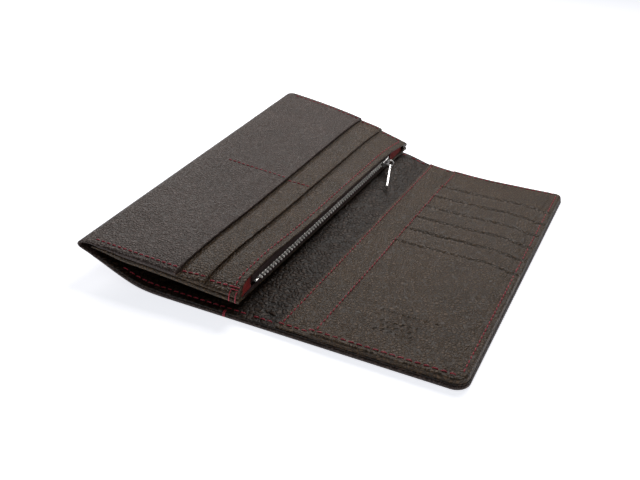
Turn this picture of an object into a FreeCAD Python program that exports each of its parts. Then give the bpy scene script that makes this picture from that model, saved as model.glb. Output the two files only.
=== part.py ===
import FreeCAD, Part
import math
import os

# Long bifold wallet, lying open on a table, in millimetres.
# X runs across the open wallet from the left fold to the right edge, Y along its length, Z up.
# The origin is under the middle of the open wallet, on the table.
# Every sheet is the space between two height functions over a stretch of X and Y, so neighbouring
# layers follow one another exactly.

V = FreeCAD.Vector

# ---- driving dimensions -------------------------------------------------------------------------
LENGTH = 190.0
Y_NEAR = -LENGTH / 2
Y_FAR = LENGTH / 2
RIGHT_EDGE = 87.4
FOLD_EDGE = -87.4
FOLD_START = -80.5
SPINE_RIGHT = 9.1
SPINE_LEFT = -2.9
HINGE_GAP = 0.3
LAYER_GAP = 0.06
FABRIC_GAP = 0.14
CORNER_RADIUS_NEAR = 6.0
CORNER_RADIUS_FAR = 4.0

COVER_LEATHER = 1.25
TURNED_EDGE = 0.6
BOARD_INSET = 8.0
LINING = 0.8
LINING_LEFT_END = -77.0
LINING_SKIVE = 0.45
LINING_SKIVE_START = -62.0
LINING_SKIVE_RUN = 15.0
LINING_MARGIN = 0.3

LONG_POCKET_EDGE = 10.1
CARD_PANEL_EDGE = 24.7
PANEL_MARGIN = 0.6
PANEL_LEATHER = 0.7
CARD_BASE = 0.6
SLOT_LEATHER = 0.65
SLOT_COUNT = 6
SLOT_PITCH = 14.5
SLOT_MARGIN = 0.2
LAST_SLOT_MOUTH = -4.0
FRONT_POCKET_RUN = 14.0

LEAF_THICKNESS = 4.5
LEAF_THINNING = 2.0
LEAF_THINNING_START = -62.0
LEAF_THINNING_RUN = 18.0
PLAIN_EDGE = -35.9
STRIP_EDGE = -22.3
ZIP_EDGE = -5.9
ZIP_EDGE_RECESS = 1.6
PANELS_START = -56.0
PLAIN_LEATHER = 1.0
STRIP_LEATHER = 0.85
STRIP_TAIL_END = -62.0
ZIP_PANEL_TAIL_END = -48.0
LEAF_BOTTOM_LEATHER = 0.8
LEAF_BOTTOM_START = -79.5
POUCH_FABRIC = 0.3
POUCH_BACK = -74.0
POUCH_MARGIN = 6.0
POUCH_MOUTH = -10.6
GUSSET_INSET = 3.0

FOLD_CURL = 4.6
FOLD_CURL_INNER = 3.9
FOLD_CURL_SHARE = 0.28
FOLD_END_LEATHER = 1.1

CHAIN_X = -7.9
CHAIN_MID_HEIGHT = 13.0
CHAIN_RISE = 0.03
CHAIN_NEAR = -78.0
CHAIN_FAR = 58.0
TOOTH_PITCH = 1.5
TOOTH_LENGTH = 0.62
TOOTH_DEPTH = 1.4
TOOTH_INNER = 0.3
TOOTH_OUTER = 1.4
TAPE_THICKNESS = 0.5
TAPE_PAST_STOPS = 4.0
STOP_HALF_WIDTH = 0.8
STOP_HALF_LENGTH = 1.0
STOP_HALF_HEIGHT = 1.3
FAR_STOP_LENGTH = 1.6
FAR_STOP_HEIGHT = 1.0
FAR_STOP_OFFSET = 0.35
SLIDER_LENGTH = 8.0
SLIDER_NEAR = 58.0
SLIDER_HALF_DEPTH = 1.9
SLIDER_PLATE = 0.8
SLIDER_HALF_WIDTH = 2.1
WEB_LENGTH = 1.6
WEB_THICKNESS = 0.24
BAIL_MARGIN = 1.8
BAIL_REACH = 1.65
BAIL_WIRE = 0.8
BAIL_TOP_WIRE = 0.53
BAIL_WIDTH = 1.0
RING_OFFSET = 0.62
RING_RADIUS = 1.75
RING_WIRE = 0.4
PULL_LENGTH = 22.0
PULL_WIDTH = 2.0
PULL_THICKNESS = 1.2
PULL_YAW = 17.5
PULL_DROOP = 9.0

THREAD_WIDTH = 0.6
THREAD_HEIGHT = 0.3
THREAD_GAP = 0.12
ZIP_SEAM_INSET = 4.9
EDGE_SEAM_INSET = 1.6
DIVIDER_RUN = 34.5
SEAM_INSET = 3.2
TACK_WIDTH = 0.7
TACK_DEPTH = 0.3
COVER_TACK_X = -13.8
COVER_TACK_LOW = 0.3
COVER_TACK_HIGH = 2.5
LEAF_TACK_INSETS = (4.4, 1.4)

# Underside of the cover across X at the far end, where the left half springs up, as (x, z).
FAR_UNDERSIDE = [
    (-90.0, 32.6), (-72.5, 25.2), (-57.5, 19.2), (-40.5, 14.2), (-22.5, 10.6), (-9.5, 8.0),
    (-2.5, 6.7), (3.5, 5.0), (9.5, 3.3), (21.5, 1.6), (35.5, 0.45), (47.5, 0.0), (48.5, 0.0),
]
# From here to the right edge the cover lies flat on the table.
FLAT_START = 48.5
# At the near end the cover lies flat and only its left end curls up.
NEAR_CURL_X = -56.5
NEAR_CURL_SLOPE = 0.44
NEAR_CURL_SOFTNESS = 4.0

# Top of the raised leaf across X at its two ends, as (x, z).
LEAF_NEAR_TOP = [(-90.0, 17.2), (-62.5, 16.0), (-36.5, 14.6), (-22.5, 13.6), (-5.9, 12.6)]
LEAF_FAR_TOP = [(-90.0, 35.6), (-60.5, 31.5), (-33.5, 25.9), (-20.1, 21.5), (-5.7, 16.3)]
LEAF_BULGE = 1.9
LEAF_NEAR_BULGE = 1.4
LEAF_NEAR_BULGE_Y = -66.0
LEAF_NEAR_BULGE_WIDTH = 22.0
LEAF_SAG = 1.3
NEAR_RISE = 12.0
FAR_RISE = 40.0


# ---- height functions ---------------------------------------------------------------------------
def through(points, x):
    """Smooth curve through (x, z) points, by cubic spans with averaged slopes."""
    count = len(points)
    slopes = [
        (points[i + 1][1] - points[i][1]) / (points[i + 1][0] - points[i][0])
        for i in range(count - 1)
    ]
    tangents = [slopes[0]]
    tangents += [(slopes[i - 1] + slopes[i]) / 2 for i in range(1, count - 1)]
    tangents += [slopes[-1]]
    i = 0
    while i < count - 2 and x > points[i + 1][0]:
        i += 1
    run = points[i + 1][0] - points[i][0]
    u = (x - points[i][0]) / run
    near_weight = (1 + 2 * u) * (1 - u) ** 2
    far_weight = u * u * (3 - 2 * u)
    near_slope = u * (1 - u) ** 2 * run
    far_slope = u * u * (u - 1) * run
    return (
        near_weight * points[i][1]
        + far_weight * points[i + 1][1]
        + near_slope * tangents[i]
        + far_slope * tangents[i + 1]
    )


def along(y):
    """0 at the near end and 1 at the far end."""
    return (y - Y_NEAR) / LENGTH


def smooth(u):
    u = min(max(u, 0.0), 1.0)
    return u * u * (3 - 2 * u)


def underside(x, y):
    """Underside of the cover leather."""
    if x >= FLAT_START:
        return 0.0
    curl = (NEAR_CURL_X - x) / NEAR_CURL_SOFTNESS
    near = NEAR_CURL_SLOPE * NEAR_CURL_SOFTNESS * math.log(1 + math.exp(curl))
    far = through(FAR_UNDERSIDE, x)
    return near + (far - near) * along(y)


def cover_top(x, y):
    return underside(x, y) + COVER_LEATHER + TURNED_EDGE


def lining_top(x, y):
    return cover_top(x, y) + LAYER_GAP + LINING


def swell(y):
    """How far the coin pouch has opened the leaf: 0 at its sewn ends, 1 between them."""
    near = min(max((y - Y_NEAR) / NEAR_RISE, 0.0), 1.0)
    far = min(max((Y_FAR - y) / FAR_RISE, 0.0), 1.0)
    return (1 - (1 - near) ** 2) * (1 - (1 - far) ** 2)


def leaf_base(x, y):
    near = through(LEAF_NEAR_TOP, x)
    far = through(LEAF_FAR_TOP, x)
    return near + (far - near) * along(y)


def towards_zip(x):
    """0 at the left fold and 1 at the zip edge."""
    return smooth((x - FOLD_START) / (ZIP_EDGE - FOLD_START))


def leaf_top(x, y):
    near_bulge = LEAF_NEAR_BULGE * math.exp(-(((y - LEAF_NEAR_BULGE_Y) / LEAF_NEAR_BULGE_WIDTH) ** 2))
    return leaf_base(x, y) + (LEAF_BULGE + near_bulge) * swell(y) * towards_zip(x) ** 1.5


def leaf_underside(x, y):
    thinning = smooth((LEAF_THINNING_START - x) / LEAF_THINNING_RUN) * LEAF_THINNING
    return leaf_base(x, y) - LEAF_THICKNESS + thinning - LEAF_SAG * swell(y) * towards_zip(x) ** 3


def strip_top(x, y):
    step = 1 - smooth((x - PLAIN_EDGE) / (STRIP_EDGE - PLAIN_EDGE))
    return leaf_top(x, y) - (PLAIN_LEATHER + LAYER_GAP) * step


def zip_panel_top(x, y):
    rise = smooth((x - STRIP_EDGE) / (ZIP_EDGE - STRIP_EDGE))
    over = (STRIP_LEATHER + LAYER_GAP) * (1 - rise)
    return strip_top(x, y) - over


def pouch_top(x, y):
    return zip_panel_top(x, y) - STRIP_LEATHER - FABRIC_GAP


def chain_height(y):
    return CHAIN_MID_HEIGHT + CHAIN_RISE * y


def fold_height(y):
    """Height of the left fold's outermost line, where the leaf turns on the cover."""
    near = (underside(FOLD_START - 2.0, Y_NEAR) + leaf_top(FOLD_START - 2.0, Y_NEAR)) / 2
    far = (underside(FOLD_START - 2.0, Y_FAR) + leaf_top(FOLD_START - 2.0, Y_FAR)) / 2
    return near + (far - near) * along(y)


def zip_edge(y):
    return ZIP_EDGE - ZIP_EDGE_RECESS * swell(y)


# ---- solids -------------------------------------------------------------------------------------
def offset(height, amount):
    return lambda x, y: height(x, y) + amount


# Shared stations: every sheet is fitted at the same places, so that neighbouring layers stay apart.
# They stand closer across the leaf's stepped panels.
FINE_STEP = 3.0
X_STATIONS = [FLAT_START + 2 * FINE_STEP * i for i in range(-23, 7)]
X_STATIONS += [x + FINE_STEP for x in X_STATIONS if PANELS_START < x < ZIP_EDGE]
X_STATIONS.sort()
Y_STATIONS = (
    -92.0, -89.0, -86.0, -83.0, -78.0, -68.0, -54.0, -36.0, -26.0, -18.0, -13.0, -8.5,
    0.0, 18.0, 36.0, 54.0, 64.0, 74.0, 84.0, 89.0,
)


def stations(low, high, step):
    count = max(3, int(math.ceil((high - low) / step)))
    return [low + (high - low) * i / count for i in range(count + 1)]


def inside(values, low, high, margin):
    """The ends of a stretch and the shared stations between them, with no two closer than the margin."""
    chosen = [value for value in values if low + margin < value < high - margin]
    if len(chosen) < 2:
        return stations(low, high, high - low)
    return [low] + chosen + [high]


def surface(x_low, x_high, ys, height):
    """A smooth face over the stations. x_high is a number, or a function where the edge bows along Y."""
    grid = []
    if callable(x_high):
        shares = stations(0.0, 1.0, FINE_STEP / abs(x_high(0.0) - x_low))
        columns = [lambda y, share=share: x_low + share * (x_high(y) - x_low) for share in shares]
    else:
        columns = [lambda y, x=x: x for x in inside(X_STATIONS, x_low, x_high, 1.0)]
    for column in columns:
        grid.append([V(column(y), y, height(column(y), y)) for y in ys])
    face = Part.BSplineSurface()
    face.interpolate(grid)
    return face


def side(first, second):
    return Part.makeRuledSurface(first, second)


def sheet(x_low, x_high, y_low, y_high, low, high):
    """The closed solid between two height functions over a stretch of X and Y."""
    ys = inside(Y_STATIONS, y_low, y_high, 0.8)
    bottom = surface(x_low, x_high, ys, low)
    top = surface(x_low, x_high, ys, high)
    u0, u1, v0, v1 = top.bounds()
    a0, a1, b0, b1 = bottom.bounds()
    pairs = [
        (top.uIso(u0), bottom.uIso(a0)),
        (top.uIso(u1), bottom.uIso(a1)),
        (top.vIso(v0), bottom.vIso(b0)),
        (top.vIso(v1), bottom.vIso(b1)),
    ]
    faces = [top.toShape(), bottom.toShape()]
    faces += [side(upper.toShape(), lower.toShape()) for upper, lower in pairs]
    shell = Part.makeShell(faces)
    shell.sewShape()
    solid = Part.Solid(Part.Shell(shell.Faces))
    if solid.Volume < 0:
        solid.reverse()
    return solid


def box(x0, x1, y0, y1, z0, z1):
    return Part.makeBox(x1 - x0, y1 - y0, z1 - z0, V(x0, y0, z0))


def rounded_right(shape, inset):
    """Cut the two right-hand corners of a right-half layer to their radii."""
    tall = 60.0
    right = RIGHT_EDGE - inset
    for corner, radius, direction in (
        (Y_NEAR + inset, CORNER_RADIUS_NEAR, 1),
        (Y_FAR - inset, CORNER_RADIUS_FAR, -1),
    ):
        y0, y1 = sorted((corner - direction * 2.0, corner + direction * radius))
        block = box(right - radius, right + 2.0, y0, y1, -10.0, tall)
        rod = Part.makeCylinder(radius, tall + 20.0, V(right - radius, corner + direction * radius, -15.0))
        shape = shape.cut(block.cut(rod))
    return shape.Solids[0]


def fold_end(outer_join, inner_join, sign):
    """The curled end of one leather at the left fold: a quarter turn from FOLD_START to the outer line."""
    def between(height, middle):
        return height + (middle - height) * FOLD_CURL_SHARE

    inner_x = FOLD_START - FOLD_CURL_INNER
    wires = []
    for y in (Y_NEAR, Y_FAR):
        outer_z = outer_join(FOLD_START, y)
        inner_z = inner_join(FOLD_START, y)
        middle = fold_height(y) + sign * HINGE_GAP / 2
        outer = Part.BSplineCurve()
        outer.interpolate([
            V(FOLD_START, y, outer_z),
            V(FOLD_START - FOLD_CURL, y, between(outer_join(FOLD_START - FOLD_CURL, y), middle)),
            V(FOLD_EDGE, y, middle),
        ])
        inner = Part.BSplineCurve()
        inner.interpolate([
            V(FOLD_EDGE + FOLD_END_LEATHER, y, middle),
            V(inner_x, y, between(inner_join(inner_x, y), middle)),
            V(FOLD_START, y, inner_z),
        ])
        edges = [
            outer.toShape(),
            Part.makeLine(V(FOLD_EDGE, y, middle), V(FOLD_EDGE + FOLD_END_LEATHER, y, middle)),
            inner.toShape(),
            Part.makeLine(V(FOLD_START, y, inner_z), V(FOLD_START, y, outer_z)),
        ]
        wires.append(Part.Wire(edges))
    return Part.makeLoft(wires, True, True)


def cover_layer(x_low, x_high, board_low, board_high):
    """Cover leather with its turned edge standing round the recess that holds the board."""
    plate = sheet(x_low, min(x_high, FLAT_START), Y_NEAR, Y_FAR, underside, cover_top)
    if x_high > FLAT_START:
        plate = plate.fuse(box(FLAT_START, x_high, Y_NEAR, Y_FAR, 0.0, COVER_LEATHER + TURNED_EDGE))
    recess = sheet(
        board_low, board_high, Y_NEAR + BOARD_INSET, Y_FAR - BOARD_INSET,
        offset(underside, COVER_LEATHER), offset(cover_top, 2.0),
    )
    return plate.cut(recess).Solids[0]


def board_layer(x_low, x_high):
    return sheet(
        x_low + LAYER_GAP, x_high - LAYER_GAP,
        Y_NEAR + BOARD_INSET + LAYER_GAP, Y_FAR - BOARD_INSET - LAYER_GAP,
        offset(underside, COVER_LEATHER + LAYER_GAP), offset(cover_top, -LAYER_GAP),
    )


def lining_layer(x_low, x_high):
    return sheet(x_low, x_high, Y_NEAR, Y_FAR, offset(cover_top, LAYER_GAP), lining_top)


def seam_along_y(x, y_low, y_high, height):
    half = THREAD_WIDTH / 2
    return sheet(
        x - half, x + half, y_low, y_high,
        offset(height, THREAD_GAP), offset(height, THREAD_GAP + THREAD_HEIGHT),
    )


def seam_across(y, x_low, x_high, height):
    half = THREAD_WIDTH / 2
    return sheet(
        x_low, x_high, y - half, y + half,
        offset(height, THREAD_GAP), offset(height, THREAD_GAP + THREAD_HEIGHT),
    )


# ---- right half ---------------------------------------------------------------------------------
half_gap = HINGE_GAP / 2
right_start = SPINE_RIGHT + half_gap
spine_end = SPINE_RIGHT - half_gap
spine_start = SPINE_LEFT + half_gap
left_end = SPINE_LEFT - half_gap

parts = {}
cover_right = cover_layer(right_start, RIGHT_EDGE, right_start + BOARD_INSET, RIGHT_EDGE - BOARD_INSET)
parts["cover_right"] = rounded_right(cover_right, 0.0)
parts["board_right"] = board_layer(right_start + BOARD_INSET, RIGHT_EDGE - BOARD_INSET)
parts["lining_right"] = rounded_right(lining_layer(right_start, RIGHT_EDGE - LINING_MARGIN), LINING_MARGIN)

pocket_low = offset(lining_top, LAYER_GAP)
pocket_high = offset(lining_top, LAYER_GAP + PANEL_LEATHER)
panel_right = RIGHT_EDGE - PANEL_MARGIN
panel_near = Y_NEAR + PANEL_MARGIN
panel_far = Y_FAR - PANEL_MARGIN
long_pocket = sheet(LONG_POCKET_EDGE, panel_right, panel_near, panel_far, pocket_low, pocket_high)
parts["long_pocket_panel"] = rounded_right(long_pocket, PANEL_MARGIN)

card_low = offset(pocket_high, LAYER_GAP)
card_high = offset(pocket_high, LAYER_GAP + CARD_BASE)
card_base = sheet(CARD_PANEL_EDGE, panel_right, panel_near, panel_far, card_low, card_high)
parts["card_panel"] = rounded_right(card_base, PANEL_MARGIN)

slot_lift = SLOT_LEATHER + 2 * LAYER_GAP


def slot_lower(mouth, run):
    """Underside of a slot: over the slot behind at its mouth, down on the panel at its tail."""
    def height(x, y):
        drop = (mouth - y) / run
        return card_high(x, y) + LAYER_GAP + slot_lift * (1 - drop)
    return height


for number in range(1, SLOT_COUNT):
    mouth = LAST_SLOT_MOUTH + (SLOT_COUNT - number) * SLOT_PITCH
    lower = slot_lower(mouth, SLOT_PITCH)
    parts["card_slot_%d" % number] = sheet(
        CARD_PANEL_EDGE, panel_right - SLOT_MARGIN, mouth - SLOT_PITCH, mouth,
        lower, offset(lower, SLOT_LEATHER),
    )

flat_low = offset(card_high, LAYER_GAP)


def front_low(x, y):
    drop = smooth((LAST_SLOT_MOUTH - y) / FRONT_POCKET_RUN)
    return flat_low(x, y) + slot_lift * (1 - drop)


front_pocket = sheet(
    CARD_PANEL_EDGE, panel_right - SLOT_MARGIN, panel_near, LAST_SLOT_MOUTH,
    front_low, offset(front_low, SLOT_LEATHER),
)
parts["card_front_pocket"] = rounded_right(front_pocket, PANEL_MARGIN + SLOT_MARGIN)

front_top = offset(flat_low, SLOT_LEATHER)
seam_right_x = RIGHT_EDGE - SEAM_INSET
seam_near_y = Y_NEAR + SEAM_INSET
seam_far_y = Y_FAR - SEAM_INSET
seam_start_y = seam_near_y + 2
seam_stop_y = seam_far_y - 2
top_mouth = LAST_SLOT_MOUTH + (SLOT_COUNT - 1) * SLOT_PITCH
parts["seam_long_pocket"] = seam_along_y(
    LONG_POCKET_EDGE + EDGE_SEAM_INSET, seam_start_y, seam_stop_y, pocket_high
)
parts["seam_card_panel_far"] = seam_along_y(
    CARD_PANEL_EDGE + EDGE_SEAM_INSET, top_mouth + 2, seam_stop_y, card_high
)
parts["seam_right_edge"] = seam_along_y(
    seam_right_x, Y_NEAR + CORNER_RADIUS_NEAR + 2, LAST_SLOT_MOUTH - FRONT_POCKET_RUN, front_top
)
parts["seam_right_near"] = seam_across(
    seam_near_y, CARD_PANEL_EDGE + 3, RIGHT_EDGE - CORNER_RADIUS_NEAR - 1, front_top
)
parts["seam_right_far"] = seam_across(
    seam_far_y, CARD_PANEL_EDGE + 3, RIGHT_EDGE - CORNER_RADIUS_FAR - 1, card_high
)

# ---- spine --------------------------------------------------------------------------------------
parts["cover_spine"] = sheet(spine_start, spine_end, Y_NEAR, Y_FAR, underside, cover_top)
parts["lining_spine"] = lining_layer(spine_start, spine_end)
parts["seam_spine"] = Part.makeCompound([
    seam_across(y, spine_start + 1.2, spine_end - 1.2, lining_top) for y in (seam_near_y, seam_far_y)
])

# ---- left half ----------------------------------------------------------------------------------
left_plate = cover_layer(FOLD_START, left_end, FOLD_START + BOARD_INSET, left_end - BOARD_INSET)
left_curl = fold_end(underside, offset(underside, COVER_LEATHER), -1)
parts["cover_left"] = left_plate.fuse(left_curl).Solids[0]
parts["board_left"] = board_layer(FOLD_START + BOARD_INSET, left_end - BOARD_INSET)
parts["lining_left"] = sheet(
    LINING_LEFT_END, left_end, Y_NEAR, Y_FAR, offset(cover_top, LAYER_GAP),
    lambda x, y: lining_top(x, y) - LINING_SKIVE * smooth((LINING_SKIVE_START - x) / LINING_SKIVE_RUN),
)
parts["seam_left"] = Part.makeCompound([
    seam_across(y, -60.0, left_end - 1.2, lining_top) for y in (seam_near_y, seam_far_y)
])
parts["tack_cover"] = box(
    COVER_TACK_X, COVER_TACK_X + TACK_WIDTH, Y_NEAR - TACK_DEPTH - LAYER_GAP, Y_NEAR - LAYER_GAP,
    COVER_TACK_LOW, COVER_TACK_HIGH,
)

# ---- leaf ---------------------------------------------------------------------------------------
plain = sheet(FOLD_START, PLAIN_EDGE, Y_NEAR, Y_FAR, offset(leaf_top, -PLAIN_LEATHER), leaf_top)
plain_curl = fold_end(leaf_top, offset(leaf_top, -PLAIN_LEATHER), 1)
parts["leaf_plain_panel"] = plain.fuse(plain_curl).Solids[0]
parts["leaf_slot_strip"] = sheet(
    STRIP_TAIL_END, STRIP_EDGE, Y_NEAR, Y_FAR, offset(strip_top, -STRIP_LEATHER), strip_top
)
parts["leaf_zip_panel"] = sheet(
    ZIP_PANEL_TAIL_END, zip_edge, Y_NEAR, Y_FAR, offset(zip_panel_top, -STRIP_LEATHER), zip_panel_top
)
parts["leaf_bottom_panel"] = sheet(
    LEAF_BOTTOM_START, zip_edge, Y_NEAR, Y_FAR, leaf_underside, offset(leaf_underside, LEAF_BOTTOM_LEATHER)
)
pouch_near = Y_NEAR + POUCH_MARGIN
pouch_far = Y_FAR - POUCH_MARGIN
pouch_floor = offset(leaf_underside, LEAF_BOTTOM_LEATHER + FABRIC_GAP)
parts["pouch_lining_upper"] = sheet(
    ZIP_PANEL_TAIL_END, POUCH_MOUTH, pouch_near, pouch_far, offset(pouch_top, -POUCH_FABRIC), pouch_top
)
parts["pouch_lining_lower"] = sheet(
    POUCH_BACK, POUCH_MOUTH, pouch_near, pouch_far, pouch_floor, offset(pouch_floor, POUCH_FABRIC)
)


def mouth_wall(x_mid, thickness, y_low, y_high, low, high):
    return sheet(x_mid - thickness / 2, x_mid + thickness / 2, y_low, y_high, low, high)


mouth_floor = offset(leaf_underside, LEAF_BOTTOM_LEATHER + FABRIC_GAP)
mouth_roof = offset(zip_panel_top, -STRIP_LEATHER - FABRIC_GAP)
tape_near = CHAIN_NEAR - TAPE_PAST_STOPS
tape_far = SLIDER_NEAR + SLIDER_LENGTH + TAPE_PAST_STOPS + 2.0
parts["zip_tape_upper"] = mouth_wall(
    CHAIN_X, TAPE_THICKNESS, tape_near, tape_far,
    lambda x, y: chain_height(y) + TOOTH_OUTER + LAYER_GAP, mouth_roof,
)
parts["zip_tape_lower"] = mouth_wall(
    CHAIN_X, TAPE_THICKNESS, tape_near, tape_far,
    mouth_floor, lambda x, y: chain_height(y) - TOOTH_OUTER - LAYER_GAP,
)
parts["pouch_gusset_near"] = mouth_wall(
    CHAIN_X, POUCH_FABRIC, Y_NEAR + GUSSET_INSET, tape_near - LAYER_GAP, mouth_floor, mouth_roof
)
parts["pouch_gusset_far"] = mouth_wall(
    CHAIN_X, POUCH_FABRIC, tape_far + LAYER_GAP, Y_FAR - GUSSET_INSET, mouth_floor, mouth_roof
)


def teeth(direction, first):
    """One row of teeth on its tape; direction is 1 for the upper row."""
    row = []
    count = int((CHAIN_FAR + 4.0 - first) / TOOTH_PITCH)
    for i in range(count):
        y = first + i * TOOTH_PITCH
        z0, z1 = sorted((
            chain_height(y) + direction * TOOTH_INNER, chain_height(y) + direction * TOOTH_OUTER
        ))
        half = TOOTH_DEPTH / 2
        row.append(box(CHAIN_X - half, CHAIN_X + half, y, y + TOOTH_LENGTH, z0, z1))
    return Part.makeCompound(row)


parts["zip_teeth_upper"] = teeth(1, CHAIN_NEAR + 1.5)
parts["zip_teeth_lower"] = teeth(-1, CHAIN_NEAR + 1.5 + TOOTH_PITCH / 2)
stop_z = chain_height(CHAIN_NEAR)
parts["zip_stop_near"] = box(
    CHAIN_X - STOP_HALF_WIDTH, CHAIN_X + STOP_HALF_WIDTH,
    CHAIN_NEAR - STOP_HALF_LENGTH, CHAIN_NEAR + STOP_HALF_LENGTH,
    stop_z - STOP_HALF_HEIGHT, stop_z + STOP_HALF_HEIGHT,
)
stop_y = SLIDER_NEAR + SLIDER_LENGTH + 1.0
far_z = chain_height(stop_y)
parts["zip_stops_far"] = Part.makeCompound([
    box(
        CHAIN_X - STOP_HALF_WIDTH, CHAIN_X + STOP_HALF_WIDTH, stop_y, stop_y + FAR_STOP_LENGTH,
        far_z + low, far_z + low + FAR_STOP_HEIGHT,
    )
    for low in (FAR_STOP_OFFSET, -FAR_STOP_OFFSET - FAR_STOP_HEIGHT)
])

# ---- zip slider and its pull --------------------------------------------------------------------
slider_y0 = SLIDER_NEAR
slider_y1 = SLIDER_NEAR + SLIDER_LENGTH
slider_z = chain_height(SLIDER_NEAR + SLIDER_LENGTH / 2)
face_x = CHAIN_X + SLIDER_HALF_DEPTH
back_x = CHAIN_X - SLIDER_HALF_DEPTH
z_low = slider_z - SLIDER_HALF_WIDTH
z_high = slider_z + SLIDER_HALF_WIDTH
outer_plate = box(face_x - SLIDER_PLATE, face_x, slider_y0, slider_y1, z_low, z_high)
inner_plate = box(back_x, back_x + SLIDER_PLATE, slider_y0, slider_y1, z_low, z_high)
plate_middle = SLIDER_PLATE / 2
web_y1 = slider_y1 - plate_middle
web = box(
    back_x + plate_middle, face_x - plate_middle, web_y1 - WEB_LENGTH, web_y1,
    slider_z - WEB_THICKNESS / 2, slider_z + WEB_THICKNESS / 2,
)
slider = outer_plate.fuse(inner_plate).fuse(web)
bail_y0 = slider_y0 + BAIL_MARGIN
bail_y1 = slider_y1 - BAIL_MARGIN
bail_half = BAIL_WIDTH / 2
bail = box(
    face_x - SLIDER_PLATE / 4, face_x + BAIL_REACH, bail_y0, bail_y1,
    slider_z - bail_half, slider_z + bail_half,
)
bail_window = box(
    face_x - SLIDER_PLATE, face_x + BAIL_REACH - BAIL_TOP_WIRE, bail_y0 + BAIL_WIRE, bail_y1 - BAIL_WIRE,
    slider_z - BAIL_WIDTH, slider_z + BAIL_WIDTH,
)
bail = bail.cut(bail_window)
parts["zip_slider"] = slider.fuse(bail).removeSplitter().Solids[0]

swing_point = V(face_x + RING_OFFSET, (bail_y0 + bail_y1) / 2, slider_z)
ring_centre = V(swing_point.x + RING_RADIUS, swing_point.y, swing_point.z)
ring = Part.makeTorus(RING_RADIUS, RING_WIRE, ring_centre, V(0, 1, 0))
ring.rotate(swing_point, V(0, 0, 1), PULL_YAW)
parts["pull_ring"] = ring

eye = V(ring_centre.x, ring_centre.y, ring_centre.z - RING_RADIUS)
eye_radius = PULL_WIDTH / 2 + 0.1
hole_radius = RING_WIRE + 0.15
blade = box(
    eye.x - PULL_THICKNESS / 2, eye.x + PULL_THICKNESS / 2,
    eye.y - PULL_LENGTH, eye.y, eye.z - PULL_WIDTH / 2, eye.z + PULL_WIDTH / 2,
)
eye_start = V(eye.x - PULL_THICKNESS / 2, eye.y, eye.z)
eye_disc = Part.makeCylinder(eye_radius, PULL_THICKNESS, eye_start, V(1, 0, 0))
hole = Part.makeCylinder(hole_radius, 8.0, V(eye.x - 4.0, eye.y, eye.z), V(1, 0, 0))
pull = blade.fuse(eye_disc).cut(hole).removeSplitter()
pull.rotate(eye, V(1, 0, 0), PULL_DROOP)
pull.rotate(swing_point, V(0, 0, 1), PULL_YAW)
parts["pull_bar"] = pull.Solids[0]

# ---- leaf seams ---------------------------------------------------------------------------------
parts["seam_leaf_zip"] = sheet(
    ZIP_EDGE - ZIP_SEAM_INSET - THREAD_WIDTH / 2, ZIP_EDGE - ZIP_SEAM_INSET + THREAD_WIDTH / 2,
    seam_start_y, seam_stop_y,
    offset(zip_panel_top, THREAD_GAP), offset(zip_panel_top, THREAD_GAP + THREAD_HEIGHT),
)
leaf_seams = []
for seam_y in (seam_near_y, seam_far_y):
    leaf_seams.append(seam_across(seam_y, FOLD_START + 1, PLAIN_EDGE - 0.5, leaf_top))
    leaf_seams.append(seam_across(seam_y, PLAIN_EDGE + 0.6, STRIP_EDGE - 0.5, strip_top))
    leaf_seams.append(seam_across(seam_y, STRIP_EDGE + 0.6, ZIP_EDGE - 3.5, zip_panel_top))
parts["seam_leaf_near"] = Part.makeCompound(leaf_seams[:3])
parts["seam_leaf_far"] = Part.makeCompound(leaf_seams[3:])
parts["seam_leaf_divider"] = Part.makeCompound([
    seam_across(0.0, PLAIN_EDGE - DIVIDER_RUN, PLAIN_EDGE - 0.5, leaf_top),
    seam_across(0.0, PLAIN_EDGE + 0.6, STRIP_EDGE - 0.5, strip_top),
])
parts["tack_leaf"] = Part.makeCompound([
    box(
        x, x + TACK_WIDTH, Y_NEAR - TACK_DEPTH - LAYER_GAP, Y_NEAR - LAYER_GAP,
        leaf_underside(x, Y_NEAR) + 0.3, zip_panel_top(x, Y_NEAR),
    )
    for x in [ZIP_EDGE - inset for inset in LEAF_TACK_INSETS]
])

# ---- write --------------------------------------------------------------------------------------
os.makedirs("parts", exist_ok=True)
for name, shape in parts.items():
    valid = shape.isValid()
    solids = len(shape.Solids)
    print("%-22s solids %3d valid %s volume %.1f" % (name, solids, valid, shape.Volume))
    shape.exportStep("parts/%s.step" % name)
print("leaf hinge line heights", round(fold_height(Y_NEAR), 3), round(fold_height(Y_FAR), 3))
for name, x in (("spine_fold", SPINE_RIGHT), ("left_fold", SPINE_LEFT)):
    print(name, x, round(lining_top(x, Y_NEAR), 3), round(lining_top(x, Y_FAR), 3))
print("pull", [round(c, 3) for c in swing_point], [round(c, 3) for c in eye])
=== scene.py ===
import math
import random

import bmesh
import bpy
import numpy as np
from mathutils import Matrix, Vector


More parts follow.
